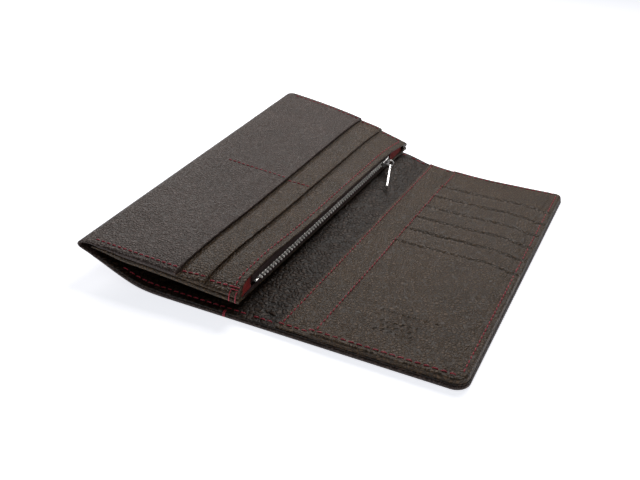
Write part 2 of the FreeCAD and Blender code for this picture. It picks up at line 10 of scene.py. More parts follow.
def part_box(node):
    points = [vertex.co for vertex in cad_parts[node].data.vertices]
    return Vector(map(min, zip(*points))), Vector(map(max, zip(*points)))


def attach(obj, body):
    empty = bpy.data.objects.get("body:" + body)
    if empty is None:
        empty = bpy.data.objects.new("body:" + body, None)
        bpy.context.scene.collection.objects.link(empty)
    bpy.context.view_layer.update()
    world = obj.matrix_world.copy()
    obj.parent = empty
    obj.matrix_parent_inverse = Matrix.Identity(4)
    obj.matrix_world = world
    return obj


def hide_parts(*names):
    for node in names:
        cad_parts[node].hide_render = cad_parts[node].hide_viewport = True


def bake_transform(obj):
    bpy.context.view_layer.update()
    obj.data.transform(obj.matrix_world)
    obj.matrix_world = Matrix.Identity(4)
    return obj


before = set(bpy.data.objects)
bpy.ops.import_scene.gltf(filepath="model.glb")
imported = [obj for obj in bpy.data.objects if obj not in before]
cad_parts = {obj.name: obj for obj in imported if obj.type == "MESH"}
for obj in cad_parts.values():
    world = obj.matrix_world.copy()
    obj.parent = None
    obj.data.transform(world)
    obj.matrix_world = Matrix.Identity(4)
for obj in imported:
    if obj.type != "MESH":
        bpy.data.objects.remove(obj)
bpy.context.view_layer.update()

random.seed(11)
MM = 0.001


# ---- places taken from the frame, in millimetres ----
def low(node):
    return [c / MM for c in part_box(node)[0]]


def high(node):
    return [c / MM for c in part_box(node)[1]]


def middle(node):
    return [(a + b) / 2 for a, b in zip(low(node), high(node))]


def ends_of(node):
    """Where a CAD node starts and stops along Y."""
    return low(node)[1], high(node)[1]


Y_NEAR, Y_FAR = ends_of("cover_right")
LENGTH = Y_FAR - Y_NEAR
RIGHT_EDGE = high("cover_right")[0]
FOLD_EDGE = low("cover_left")[0]
LONG_POCKET_EDGE = low("long_pocket_panel")[0]
CARD_PANEL_EDGE = low("card_panel")[0]
PANEL_RIGHT = high("card_panel")[0]
LINING_RIGHT = high("lining_right")[0]
LINING_LEFT = low("lining_left")[0]
PLAIN_EDGE = high("leaf_plain_panel")[0]
STRIP_EDGE = high("leaf_slot_strip")[0]
ZIP_EDGE = high("leaf_zip_panel")[0]
SPINE_MIDDLE = middle("cover_spine")[0]
SPINE_RIGHT = high("cover_spine")[0]
SPINE_LEFT = low("cover_spine")[0]
CHAIN_X = middle("zip_teeth_upper")[0]
SLOT_MOUTHS = [high("card_slot_%d" % number)[1] for number in range(1, 6)] + [high("card_front_pocket")[1]]

FOLD_START = -80.5
FOLD_REACH = 2.0
COVER_JOIN = -45.0
COVER_LEATHER = 1.25
COVER_THICKNESS = 1.85
LAYER_GAP = 0.06
LINING = 0.8
PANEL_LEATHER = 0.7
CARD_BASE = 0.6
SLOT_LEATHER = 0.65
LEAF_THICKNESS = 4.5
PLAIN_LEATHER = 1.0
STRIP_LEATHER = 0.85
LEAF_BOTTOM_LEATHER = 0.8
SEAM_INSET = 3.2
EDGE_GAP = 0.16
LEAF_MOUTH_X = -5.9
MOUTH_BOW = 1.6
CHAIN_HEIGHT = 13.0
CHAIN_SLOPE = 0.03
LEAF_SWELL = 1.9
SWELL_NEAR_RUN = 12.0
SWELL_FAR_RUN = 40.0
LEAF_SAG = 1.3
NEAR_BULGE = 1.4
NEAR_BULGE_Y = -66.0
NEAR_BULGE_REACH = 22.0
THINNING = 2.0
THINNING_START = -62.0
THINNING_RUN = 18.0
RIM_WIDTH = 4.0
RIM_FADE = 1.5
RIM_RAISE = 1.35
FOLD_CLEAR_X = -79.0
RAISE_RUN = 12.0
FLAT_START = 48.5

FAR_UNDERSIDE = [
    (-90.0, 32.6), (-72.5, 25.2), (-57.5, 19.2), (-40.5, 14.2), (-22.5, 10.6), (-9.5, 8.0),
    (-2.5, 6.7), (3.5, 5.0), (9.5, 3.3), (21.5, 1.6), (35.5, 0.45), (47.5, 0.0), (48.5, 0.0),
]
NEAR_CURL_X = -56.5
NEAR_CURL_SLOPE = 0.44
NEAR_CURL_SOFTNESS = 4.0
LEAF_NEAR_TOP = [(-90.0, 17.2), (-62.5, 16.0), (-36.5, 14.6), (-22.5, 13.6), (-5.9, 12.6)]
LEAF_FAR_TOP = [(-90.0, 35.6), (-60.5, 31.5), (-33.5, 25.9), (-20.1, 21.5), (-5.7, 16.3)]


# ---- height functions, the same surfaces as the CAD layers ----
def through(points, x):
    xs = np.array([p[0] for p in points])
    zs = np.array([p[1] for p in points])
    slopes = np.diff(zs) / np.diff(xs)
    tangents = np.concatenate([slopes[:1], (slopes[1:] + slopes[:-1]) / 2, slopes[-1:]])
    i = np.clip(np.searchsorted(xs, x) - 1, 0, len(xs) - 2)
    run = xs[i + 1] - xs[i]
    u = (x - xs[i]) / run
    return (
        (1 + 2 * u) * (1 - u) ** 2 * zs[i]
        + u * u * (3 - 2 * u) * zs[i + 1]
        + u * (1 - u) ** 2 * run * tangents[i]
        + u * u * (u - 1) * run * tangents[i + 1]
    )


def along(y):
    return (y - Y_NEAR) / LENGTH


def smooth(u):
    u = np.clip(u, 0.0, 1.0)
    return u * u * (3 - 2 * u)


def underside(x, y):
    curl = np.clip((NEAR_CURL_X - x) / NEAR_CURL_SOFTNESS, -30, 30)
    near = NEAR_CURL_SLOPE * NEAR_CURL_SOFTNESS * np.log(1 + np.exp(curl))
    height = near + (through(FAR_UNDERSIDE, x) - near) * along(y)
    return np.where(x >= FLAT_START, 0.0, height)


def cover_top(x, y):
    return underside(x, y) + COVER_THICKNESS


def lining_top(x, y):
    return cover_top(x, y) + LAYER_GAP + LINING


def pocket_top(x, y):
    return lining_top(x, y) + LAYER_GAP + PANEL_LEATHER


def card_top(x, y):
    return pocket_top(x, y) + LAYER_GAP + CARD_BASE


def swell(y):
    """0 at the two ends and 1 along the middle of the leaf, where the pouch fills it."""
    near = np.clip((y - Y_NEAR) / SWELL_NEAR_RUN, 0, 1)
    far = np.clip((Y_FAR - y) / SWELL_FAR_RUN, 0, 1)
    return (1 - (1 - near) ** 2) * (1 - (1 - far) ** 2)


def leaf_base(x, y):
    near = through(LEAF_NEAR_TOP, x)
    return near + (through(LEAF_FAR_TOP, x) - near) * along(y)


def towards_zip(x):
    return smooth((x - FOLD_START) / (LEAF_MOUTH_X - FOLD_START))


def leaf_top(x, y):
    near_bulge = NEAR_BULGE * np.exp(-(((y - NEAR_BULGE_Y) / NEAR_BULGE_REACH) ** 2))
    return leaf_base(x, y) + (LEAF_SWELL + near_bulge) * swell(y) * towards_zip(x) ** 1.5


def leaf_underside(x, y):
    thinning = smooth((THINNING_START - x) / THINNING_RUN) * THINNING
    return leaf_base(x, y) - LEAF_THICKNESS + thinning - LEAF_SAG * swell(y) * towards_zip(x) ** 3


def rim_share(y):
    """1 in the turned edges along the two ends of the leaf and 0 inside them."""
    rim = np.minimum(y - Y_NEAR, Y_FAR - y)
    return 1 - smooth((rim - RIM_WIDTH) / RIM_FADE)


def leaf_bottom_top(x, y):
    raised = RIM_RAISE * rim_share(y) * smooth((x - FOLD_CLEAR_X) / RAISE_RUN)
    return leaf_underside(x, y) + LEAF_BOTTOM_LEATHER + raised


def leaf_split(x, y):
    """Where the upper turned edge of the leaf rests on the lower one."""
    return leaf_bottom_top(x, y) + EDGE_GAP


def strip_top(x, y):
    step = 1 - smooth((x - PLAIN_EDGE) / (STRIP_EDGE - PLAIN_EDGE))
    return leaf_top(x, y) - (PLAIN_LEATHER + LAYER_GAP) * step


def zip_panel_top(x, y):
    rise = smooth((x - STRIP_EDGE) / (LEAF_MOUTH_X - STRIP_EDGE))
    return strip_top(x, y) - (STRIP_LEATHER + LAYER_GAP) * (1 - rise)


def zip_edge(y):
    return LEAF_MOUTH_X - MOUTH_BOW * swell(y)


def chain_height(y):
    return CHAIN_HEIGHT + CHAIN_SLOPE * y


def fold_height(y):
    x = FOLD_START - FOLD_REACH
    near, far = [(underside(x, end) + leaf_top(x, end)) / 2 for end in (Y_NEAR, Y_FAR)]
    return near + (far - near) * along(y)


# ---- leather relief ----
def hashed(i, j, seed):
    value = np.sin(i * 127.1 + j * 311.7 + seed * 74.7) * 43758.5453
    return value - np.floor(value)


def rolling(x, y, cell, seed):
    """Smooth random swells between -1 and 1."""
    u = x / cell
    v = y / cell
    i = np.floor(u)
    j = np.floor(v)
    s = smooth(u - i)
    t = smooth(v - j)
    lower = hashed(i, j, seed) * (1 - s) + hashed(i + 1, j, seed) * s
    upper = hashed(i, j + 1, seed) * (1 - s) + hashed(i + 1, j + 1, seed) * s
    return (lower * (1 - t) + upper * t) * 2 - 1


def pebbles(x, y, cell, seed):
    """Rounded grains: 0 in the creases between them and 1 on their tops."""
    u = (x + rolling(x, y, cell * 2.2, seed + 3) * cell * 0.35) / cell
    v = (y + rolling(x, y, cell * 2.2, seed + 4) * cell * 0.35) / cell
    nearest = np.full(np.shape(u), 9.0)
    second = np.full(np.shape(u), 9.0)
    for di in (-1, 0, 1):
        for dj in (-1, 0, 1):
            i = np.floor(u) + di
            j = np.floor(v) + dj
            centre_u = 0.1 + 0.8 * hashed(i, j, seed)
            centre_v = 0.1 + 0.8 * hashed(j, i, seed + 1)
            away = np.hypot(u - i - centre_u, v - j - centre_v)
            second = np.where(away < nearest, nearest, np.minimum(second, away))
            nearest = np.minimum(nearest, away)
    return smooth((second - nearest) / 0.5)


def groove(distance, depth, width):
    return -depth * np.exp(-((distance / width) ** 2))


def end_seams(y, depth, width):
    """The dents of the seams along the two ends."""
    return groove(y - Y_NEAR - SEAM_INSET, depth, width) + groove(Y_FAR - SEAM_INSET - y, depth, width)


def fine_relief(x, y):
    return 0.08 * rolling(x, y, 7.0, 1) + 0.08 * pebbles(x, y, 1.7, 5)


def loose_relief(x, y):
    """The looser, more wrinkled leather in the fold of the wallet."""
    wrinkles = 0.42 * rolling(x * 0.3 + y * 0.1, y - x * 0.45, 3.2, 8)
    return wrinkles + 0.14 * rolling(x, y, 9.0, 9) + 0.16 * pebbles(x, y, 2.3, 6)


# ---- mesh building ----
ALL_RIMS = ("left", "right", "near", "far")
CUT_LEFT = ("right", "near", "far")
CUT_RIGHT = ("left", "near", "far")
RIM = (0.0, 0.05, 0.18, 0.4, 0.7)


def crowd(start, stop, step, start_rim=0.0, stop_rim=0.0, fine=None):
    """Stations from start to stop, closer together where a rim rounds over and inside the fine stretch."""
    a = start + start_rim
    b = stop - stop_rim
    values = list(np.linspace(a, b, max(3, int(round(abs(b - a) / step)) + 1)))
    if fine:
        first, last, fine_step = fine
        values = [v for v in values if v < first - step / 3 or v > last + step / 3]
        values += list(np.linspace(first, last, int(round((last - first) / fine_step)) + 1))
        values.sort()
    before = [start + start_rim * share for share in RIM] if start_rim else []
    after = [stop - stop_rim * share for share in reversed(RIM)] if stop_rim else []
    return np.array(before + values + after)


def add_to_scene(obj):
    bpy.context.scene.collection.objects.link(obj)


def mesh_object(name, points, faces, material, is_smooth=True):
    mesh = bpy.data.meshes.new(name)
    mesh.from_pydata([tuple(p) for p in np.asarray(points) * MM], [], faces)
    mesh.polygons.foreach_set("use_smooth", [is_smooth] * len(mesh.polygons))
    mesh.validate()
    mesh.materials.append(material)
    obj = bpy.data.objects.new(name, mesh)
    add_to_scene(obj)
    return obj


def shell(name, upper, lower, material, cuts=()):
    """A closed skin between two grids of points. Cut sides have corners of their own, so that the
    shading runs on into the piece beyond the cut."""
    rows, columns = upper.shape[:2]
    count = rows * columns
    points = [upper.reshape(-1, 3), lower.reshape(-1, 3)]
    grid = np.arange(count).reshape(rows, columns)
    a, b, c, d = grid[:-1, :-1], grid[1:, :-1], grid[1:, 1:], grid[:-1, 1:]
    faces = np.stack([a, b, c, d], -1).reshape(-1, 4).tolist()
    faces += (np.stack([a, d, c, b], -1).reshape(-1, 4) + count).tolist()
    sides = {
        "left": (grid[0, :], False), "right": (grid[-1, :], True),
        "near": (grid[:, 0], True), "far": (grid[:, -1], False),
    }
    total = 2 * count
    for side, (line, turned) in sides.items():
        top = line
        bottom = line + count
        if side in cuts:
            points.append(upper.reshape(-1, 3)[line])
            points.append(lower.reshape(-1, 3)[line])
            top = np.arange(len(line)) + total
            bottom = top + len(line)
            total += 2 * len(line)
        quads = [top[:-1], top[1:], bottom[1:], bottom[:-1]]
        if turned:
            quads.reverse()
        faces += np.stack(quads, -1).tolist()
    return mesh_object(name, np.concatenate(points), faces, material)


def rounding(distance, radius):
    reach = np.minimum(distance, radius)
    return radius - np.sqrt(np.maximum(radius ** 2 - (radius - reach) ** 2, 0.0))


def layer(
    name, material, xs, ys, top, thickness, radius, rims=ALL_RIMS,
    corners=(), edge=None, relief=None, rim_extra=0.0, rim_floor=None, rim_reach=RIM_WIDTH, rim_sides=(),
):
    """One leather layer lying between a height function and its own thickness. Along the rim_sides it is
    turned over: thicker by rim_extra, or down to the rim_floor."""
    x, y = np.meshgrid(xs, ys, indexing="ij")
    sides = {"left": x - xs[0], "right": xs[-1] - x, "near": y - ys[0], "far": ys[-1] - y}
    distance = np.full(x.shape, 99.0)
    for rim in rims:
        distance = np.minimum(distance, sides[rim])
    for side, corner_radius in corners:
        direction = -1 if side == "near" else 1
        corner_y = ys[0] if side == "near" else ys[-1]
        across = (x - (xs[-1] - corner_radius)) / corner_radius
        lengthwise = direction * (y - (corner_y - direction * corner_radius)) / corner_radius
        inside = (across > 0) & (lengthwise > 0)
        a = np.clip(across, 0, 1)
        b = np.clip(lengthwise, 0, 1)
        round_a = a * np.sqrt(1 - b * b / 2)
        round_b = b * np.sqrt(1 - a * a / 2)
        x = np.where(inside, xs[-1] - corner_radius + corner_radius * round_a, x)
        y = np.where(inside, corner_y - direction * corner_radius * (1 - round_b), y)
        distance = np.where(inside, corner_radius * (1 - np.hypot(round_a, round_b)), distance)
    if edge is not None:
        x = xs[0] + (x - xs[0]) * (edge(y) - xs[0]) / (xs[-1] - xs[0])
    turned = np.zeros(x.shape)
    for side in rim_sides:
        turned = np.maximum(turned, 1 - smooth((sides[side] - rim_reach) / RIM_FADE))
    deeper = rim_extra
    if rim_floor is not None:
        deeper = np.maximum(top(x, y) - rim_floor(x, y) - thickness, 0)
    depth = thickness + turned * deeper
    z = top(x, y)
    if relief is not None:
        z = z + relief(x, y) * smooth(distance / 1.2)
    reach = np.minimum(radius, depth * 0.48)
    drop = rounding(distance, reach)
    upper = np.stack([x, y, z - drop], -1)
    lower = np.stack([x, y, top(x, y) - depth + drop], -1)
    cuts = [side for side in ("left", "right") if side not in rims]
    return shell(name, upper, lower, material, cuts)


def unit(vector):
    return vector / np.linalg.norm(vector)


def joined(pieces):
    points = []
    faces = []
    total = 0
    for piece_points, piece_faces in pieces:
        points.append(np.asarray(piece_points, float))
        faces += [[i + total for i in face] for face in piece_faces]
        total += len(piece_points)
    return np.concatenate(points), faces


def tube(path, radius, sides=8, closed=False):
    """A round wire along a path of points; its ends are drawn in to a dome."""
    path = np.asarray(path, float)
    count = len(path)
    radii = np.full(count, radius) if np.isscalar(radius) else np.asarray(radius, float)
    if closed:
        tangents = np.roll(path, -1, 0) - np.roll(path, 1, 0)
    else:
        tangents = np.gradient(path, axis=0)
    tangents = tangents / np.linalg.norm(tangents, axis=1)[:, None]
    reference = np.array([0.0, 0.0, 1.0])
    if abs(tangents[0] @ reference) > 0.9:
        reference = np.array([1.0, 0.0, 0.0])
    points = []
    normal = unit(np.cross(tangents[0], reference))
    for place, tangent, size in zip(path, tangents, radii):
        normal = unit(normal - tangent * (normal @ tangent))
        other = np.cross(tangent, normal)
        for k in range(sides):
            angle = 2 * math.pi * k / sides
            points.append(place + size * (math.cos(angle) * normal + math.sin(angle) * other))
    faces = []
    spans = count if closed else count - 1
    for i in range(spans):
        j = (i + 1) % count
        for k in range(sides):
            m = (k + 1) % sides
            faces.append([i * sides + k, i * sides + m, j * sides + m, j * sides + k])
    if not closed:
        for ring, sign in ((0, -1), (count - 1, 1)):
            points.append(path[ring] + sign * tangents[ring] * radii[ring] * 0.5)
            tip = len(points) - 1
            for k in range(sides):
                face = [ring * sides + k, ring * sides + (k + 1) % sides, tip]
                if sign < 0:
                    face.reverse()
                faces.append(face)
    return np.array(points), faces


def bevelled(outline, thickness, bevel):
    """A plate with rounded edges from an outline in its own plane, thick along the third axis."""
    shape = bmesh.new()
    corners = [shape.verts.new((a, b, -thickness / 2)) for a, b in outline]
    face = shape.faces.new(corners)
    grown = bmesh.ops.extrude_face_region(shape, geom=[face])
    lifted = [item for item in grown["geom"] if isinstance(item, bmesh.types.BMVert)]
    bmesh.ops.translate(shape, vec=(0, 0, thickness), verts=lifted)
    bmesh.ops.recalc_face_normals(shape, faces=shape.faces[:])
    bmesh.ops.bevel(
        shape, geom=shape.edges[:], offset=bevel, segments=2, affect="EDGES", profile=0.5, clamp_overlap=True,
    )
    shape.verts.index_update()
    points = np.array([list(v.co) for v in shape.verts])
    faces = [[v.index for v in f.verts] for f in shape.faces]
    shape.free()
    return points, faces


def mirrored(half):
    """A whole outline from the half of it on the low side of its long axis."""
    return half + [(a, -b) for a, b in reversed(half)]


def rounded_box(sx, sy, sz, bevel):
    return bevelled([(-sx / 2, -sy / 2), (sx / 2, -sy / 2), (sx / 2, sy / 2), (-sx / 2, sy / 2)], sz, bevel)


def facing_x(points):
    """Turns a plate built flat so that its outline lies in the Y-Z plane and its thickness along X."""
    return np.stack([points[:, 2], points[:, 0], points[:, 1]], -1)


# ---- materials ----
def new_material(name):
    made = bpy.data.materials.new(name)
    made.use_nodes = True
    tree = made.node_tree
    tree.nodes.clear()
    output = tree.nodes.new("ShaderNodeOutputMaterial")
    shader = tree.nodes.new("ShaderNodeBsdfPrincipled")
    tree.links.new(shader.outputs["BSDF"], output.inputs["Surface"])
    return made, tree, shader


def preset(node, **values):
    """Sets a node's inputs by their names, with an underscore for each space."""
    for name, value in values.items():
        node.inputs[name.replace("_", " ")].default_value = value


def add_node(tree, kind, **values):
    node = tree.nodes.new("ShaderNode" + kind)
    preset(node, **values)
    return node


def millimetres(tree):
    """Object coordinates counted in millimetres."""
    coordinates = add_node(tree, "TexCoord")
    scale = add_node(tree, "VectorMath")
    scale.operation = "SCALE"
    preset(scale, Scale=1000.0)
    tree.links.new(coordinates.outputs["Object"], scale.inputs[0])
    return scale.outputs["Vector"]


def noise(tree, vector, scale, detail, rough=0.5):
    node = add_node(tree, "TexNoise", Scale=scale, Detail=detail, Roughness=rough)
    tree.links.new(vector, node.inputs["Vector"])
    return node.outputs["Fac"]


def ranged(tree, value, low_in, high_in, low_out=0.0, high_out=1.0):
    node = add_node(tree, "MapRange", From_Min=low_in, From_Max=high_in, To_Min=low_out, To_Max=high_out)
    node.interpolation_type = "SMOOTHSTEP"
    tree.links.new(value, node.inputs["Value"])
    return node.outputs["Result"]


def mathed(tree, operation, first, second):
    node = add_node(tree, "Math")
    node.operation = operation
    for socket, value in zip(node.inputs, (first, second)):
        if isinstance(value, float):
            socket.default_value = value
        else:
            tree.links.new(value, socket)
    return node.outputs["Value"]


def weighted(tree, *terms):
    """The sum of some values, each times its weight."""
    total = None
    for value, weight in terms:
        term = mathed(tree, "MULTIPLY", value, weight)
        total = term if total is None else mathed(tree, "ADD", total, term)
    return total


def blended(tree, factor, first, second):
    node = add_node(tree, "Mix")
    node.data_type = "RGBA"
    colour_inputs = [s for s in node.inputs if s.type == "RGBA"]
    colour_inputs[0].default_value = (*first, 1)
    colour_inputs[1].default_value = (*second, 1)
    tree.links.new(factor, node.inputs["Factor"])
    return [s for s in node.outputs if s.type == "RGBA"][0]


def bumped(tree, shader, height, strength, distance):
    bump = add_node(tree, "Bump", Strength=strength, Distance=distance * MM)
    tree.links.new(height, bump.inputs["Height"])
    tree.links.new(bump.outputs["Normal"], shader.inputs["Normal"])


def leather(name, dark_tone_and_crease_shade, light, grain, bump_height, rough):
    """Grained leather: the pebble tops take the light colour, and the creases between them are darkened as
    painted shade, with pores and slow folds in its surface.
    """
    made, tree, shader = new_material(name)
    place = millimetres(tree)
    warp = add_node(tree, "TexNoise", Scale=0.45 / grain, Detail=2.0)
    tree.links.new(place, warp.inputs["Vector"])
    shifted = add_node(tree, "VectorMath")
    shifted.operation = "MULTIPLY_ADD"
    shifted.inputs[1].default_value = (1.6 * grain, 1.6 * grain, 1.6 * grain)
    tree.links.new(warp.outputs["Color"], shifted.inputs[0])
    tree.links.new(place, shifted.inputs[2])
    cells = add_node(tree, "TexVoronoi", Scale=1.0 / grain)
    cells.feature = "DISTANCE_TO_EDGE"
    tree.links.new(shifted.outputs["Vector"], cells.inputs["Vector"])
    tops = ranged(tree, cells.outputs["Distance"], 0.0, 0.32)
    pores = noise(tree, place, 1.9 / grain, 4.0, 0.6)
    folds = noise(tree, place, 0.4 / grain, 3.0, 0.55)
    height = weighted(tree, (tops, 0.55), (pores, 0.45), (folds, 0.8))
    bumped(tree, shader, height, 1.0, bump_height)
    mottle = noise(tree, place, 0.06, 3.0, 0.6)
    # the tone mixes random mottle with painted shade: the creases between the pebble tops are painted darker
    tone_and_crease_shade = weighted(tree, (tops, 0.62), (mottle, 0.55))
    colour = blended(tree, ranged(tree, tone_and_crease_shade, 0.15, 1.0), dark_tone_and_crease_shade, light)
    tree.links.new(colour, shader.inputs["Base Color"])
    tree.links.new(ranged(tree, pores, 0.3, 0.7, rough - 0.06, rough + 0.08), shader.inputs["Roughness"])
    preset(shader, Specular_IOR_Level=0.3)
    return made


def plain(name, first, second, scale, rough, metallic=0.0, bump_height=0.02, sheen=0.0):
    made, tree, shader = new_material(name)
    place = millimetres(tree)
    grain = noise(tree, place, scale, 4.0)
    share = ranged(tree, grain, 0.3, 0.7)
    tree.links.new(blended(tree, share, first, second), shader.inputs["Base Color"])
    tree.links.new(ranged(tree, grain, 0.3, 0.7, rough * 0.85, rough * 1.15), shader.inputs["Roughness"])
    bumped(tree, shader, grain, 0.6, bump_height)
    preset(shader, Metallic=metallic, Sheen_Weight=sheen)
    return made


def woven(name, first, second, pitch, rough):
    """Cloth with fine diagonal ribs."""
    made, tree, shader = new_material(name)
    place = millimetres(tree)
    wave = add_node(tree, "TexWave", Scale=0.3 / pitch, Distortion=0.5)
    wave.bands_direction = "DIAGONAL"
    tree.links.new(place, wave.inputs["Vector"])
    tree.links.new(blended(tree, wave.outputs["Fac"], first, second), shader.inputs["Base Color"])
    bumped(tree, shader, wave.outputs["Fac"], 0.6, 0.05)
    preset(shader, Roughness=rough, Sheen_Weight=0.05)
    return made


# the first colour of each leather is its dark tone and also the painted shade in the creases of the grain
COVER = leather("cover_leather", (0.024, 0.015, 0.012), (0.088, 0.058, 0.049), 1.45, 0.38, 0.44)
LINING_MAT = leather("lining_leather", (0.004, 0.002, 0.001), (0.04, 0.021, 0.011), 2.1, 0.55, 0.52)
PANEL = leather("panel_leather", (0.022, 0.013, 0.0058), (0.098, 0.059, 0.03), 1.45, 0.44, 0.44)
BOARD = plain("board", (0.16, 0.13, 0.1), (0.22, 0.18, 0.14), 1.2, 0.85)
RED = woven("red_lining", (0.17, 0.004, 0.002), (0.28, 0.009, 0.004), 0.5, 0.85)
TAPE = woven("zip_tape", (0.012, 0.003, 0.003), (0.03, 0.006, 0.005), 0.5, 0.9)
TEETH = plain("zip_teeth", (0.86, 0.84, 0.8), (0.97, 0.96, 0.94), 2.0, 0.3, 0.15)
METAL = plain("bright_metal", (0.82, 0.82, 0.82), (0.92, 0.92, 0.93), 1.5, 0.22, 0.65, 0.0006)
SLIDER_METAL = plain("slider_metal", (0.3, 0.3, 0.3), (0.42, 0.42, 0.43), 1.5, 0.25, 0.7, 0.0006)
THREAD = plain("thread", (0.3, 0.014, 0.03), (0.52, 0.035, 0.07), 3.0, 0.55, 0.0, 0.06, 0.1)


def finish_piece(obj, nodes, body=None):
    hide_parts(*nodes)
    if body:
        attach(obj, body)
    return obj


def solid_piece(name, node, slot, body, points, faces, material, is_smooth=False):
    return finish_piece(mesh_object(name, points, faces, material, is_smooth), [node], body)


# ---- the cover, its lining and the fold ----
Y_GRID = crowd(Y_NEAR, Y_FAR, 1.6, 0.9, 0.9)
Y_FINE = crowd(Y_NEAR + 0.3, Y_FAR - 0.3, 0.8, 0.4, 0.4)


def blend_along_x(obj):
    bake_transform(obj)


cover_right = layer(
    "cover_leather_right", COVER, crowd(SPINE_MIDDLE, RIGHT_EDGE, 1.6, 0, 0.9), Y_GRID,
    cover_top, COVER_THICKNESS, 0.88, rims=CUT_LEFT, corners=(("near", 6.0), ("far", 4.0)),
)
blend_along_x(cover_right)
finish_piece(cover_right, ["cover_right", "cover_spine"])

cover_left = layer(
    "cover_leather_left", COVER, crowd(COVER_JOIN, SPINE_MIDDLE, 1.4, 0, 0), Y_GRID,
    cover_top, COVER_THICKNESS, 0.88, rims=("near", "far"),
)
blend_along_x(cover_left)
finish_piece(cover_left, ["cover_left"])


UNDER_STATIONS = 28
OVER_STATIONS = 44
HALF_TURN_STATIONS = 9
BOARD_END_X = -73.0
BOARD_END_RUN = 7.0
RIM_START_RUN = 4.0


def bezier(a, b, c, d, count):
    u = np.linspace(0, 1, count)[:, None]
    return a * (1 - u) ** 3 + 3 * b * u * (1 - u) ** 2 + 3 * c * u * u * (1 - u) + d * u ** 3


def fold_section(y, inner):
    """The cover leather's section at one place along the fold: under the cover, round the fold and back
    over the leaf, on the outer or the inner side of the leather."""
    under_x = np.linspace(COVER_JOIN, FOLD_START, UNDER_STATIONS)
    edge_x = PLAIN_EDGE - 0.5 * np.array([0.7, 0.4, 0.18, 0.05, 0.0])
    over_leaf_x = np.concatenate([np.linspace(FOLD_START, PLAIN_EDGE - 0.5, OVER_STATIONS), edge_x])
    board_end = smooth((BOARD_END_X - under_x) / BOARD_END_RUN)
    thick = COVER_THICKNESS + (COVER_LEATHER - COVER_THICKNESS) * board_end
    deeper = leaf_top(over_leaf_x, y) - leaf_split(over_leaf_x, y) - PLAIN_LEATHER
    past_fold = smooth((over_leaf_x - FOLD_CLEAR_X) / RIM_START_RUN)
    leaf_thick = PLAIN_LEATHER + np.maximum(deeper, 0) * rim_share(y) * past_fold
    lift = thick if inner else 0.0
    sink = leaf_thick if inner else 0.0
    under = np.stack([under_x, underside(under_x, y) + lift], -1)
    over = np.stack([over_leaf_x, leaf_top(over_leaf_x, y) - sink], -1)
    end = 1.1 if inner else 0.0
    turn = np.array([FOLD_EDGE + end, fold_height(y)])
    handle = 2.6 if inner else 3.4
    rise = 0.9 if inner else 1.7
    slope_in = unit(under[-1] - under[-2])
    slope_out = unit(over[0] - over[1])
    up = np.array([0.0, 1.0])
    first = bezier(under[-1], under[-1] + slope_in * handle, turn - up * rise, turn, HALF_TURN_STATIONS)
    second = bezier(turn, turn + up * rise, over[0] + slope_out * handle, over[0], HALF_TURN_STATIONS)
    return np.concatenate([under, first[1:], second[1:-1], over])


def fold_surface(ys, inner):
    """One side of the fold's leather, with its section standing at every Y."""
    sections = [fold_section(y, inner) for y in ys]
    placed = [np.stack([line[:, 0], np.full(len(line), y), line[:, 1]], -1) for line, y in zip(sections, ys)]
    return np.stack(placed, 1)


def fold_piece():
    ys = crowd(Y_NEAR, Y_FAR, 1.0, 0.5, 0.5)
    outer = fold_surface(ys, False)
    inner = fold_surface(ys, True)
    across = np.arange(len(outer))[:, None]
    turn_stations = 2 * HALF_TURN_STATIONS - 3  # the two halves of the turn share their three ends
    on_leaf = across > UNDER_STATIONS + turn_stations
    end_distance = np.where(on_leaf, np.abs(PLAIN_EDGE - outer[..., 0]), 99.0)
    distance = np.minimum(np.minimum(outer[..., 1] - Y_NEAR, Y_FAR - outer[..., 1]), end_distance)
    gap = outer - inner
    thick = np.linalg.norm(gap, axis=-1)
    direction = gap / thick[..., None]
    relief = fine_relief(outer[..., 0], outer[..., 1]) * smooth(distance / 1.2) * np.where(on_leaf, 1.0, 0.4)
    drop = rounding(distance, np.minimum(0.85, thick * 0.48))
    outer = outer + direction * (relief - drop)[..., None]
    inner = inner + direction * drop[..., None]
    return shell("cover_leather_fold", outer, inner, COVER, ("left",))


fold = fold_piece()
turn_near, turn_far = [Vector((FOLD_EDGE, y, float(fold_height(y)))) for y in (Y_NEAR, Y_FAR)]
hinge_line = (turn_far - turn_near).normalized()
across_fold = Vector((0.25, 0.0, 1.0))
across_fold = (across_fold - hinge_line * across_fold.dot(hinge_line)).normalized()
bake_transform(fold)
finish_piece(fold, ["leaf_plain_panel"])


def gather(x, y):
    """Bumps where the lining is gathered at the near end of the spine."""
    here = np.exp(-(((x - 2.0) / 7.0) ** 2)) * np.exp(-(((y + 89.0) / 4.5) ** 2))
    return 0.55 * here * rolling(x, y, 2.6, 31)


def lining_relief(x, y):
    loose = loose_relief(x, y) * smooth((LONG_POCKET_EDGE + 4 - x) / 8.0)
    return loose + end_seams(y, 0.25, 0.7) + gather(x, y)


def left_lining_top(x, y):
    return lining_top(x, y) - 0.45 * smooth((-62.0 - x) / 15.0)


lining_right = layer(
    "lining_right_half", LINING_MAT, crowd(SPINE_MIDDLE, LINING_RIGHT, 0.8, 0, 0.4), Y_FINE,
    lining_top, LINING, 0.38, rims=CUT_LEFT, corners=(("near", 5.7), ("far", 3.7)),
    relief=lining_relief,
)
blend_along_x(lining_right)
finish_piece(lining_right, ["lining_right", "lining_spine"])
lining_left = layer(
    "lining_left_half", LINING_MAT, crowd(LINING_LEFT, SPINE_MIDDLE, 0.8, 0.4, 0), Y_FINE,
    left_lining_top, LINING, 0.38, rims=CUT_RIGHT, relief=lining_relief,
)
blend_along_x(lining_left)
finish_piece(lining_left, ["lining_left"])

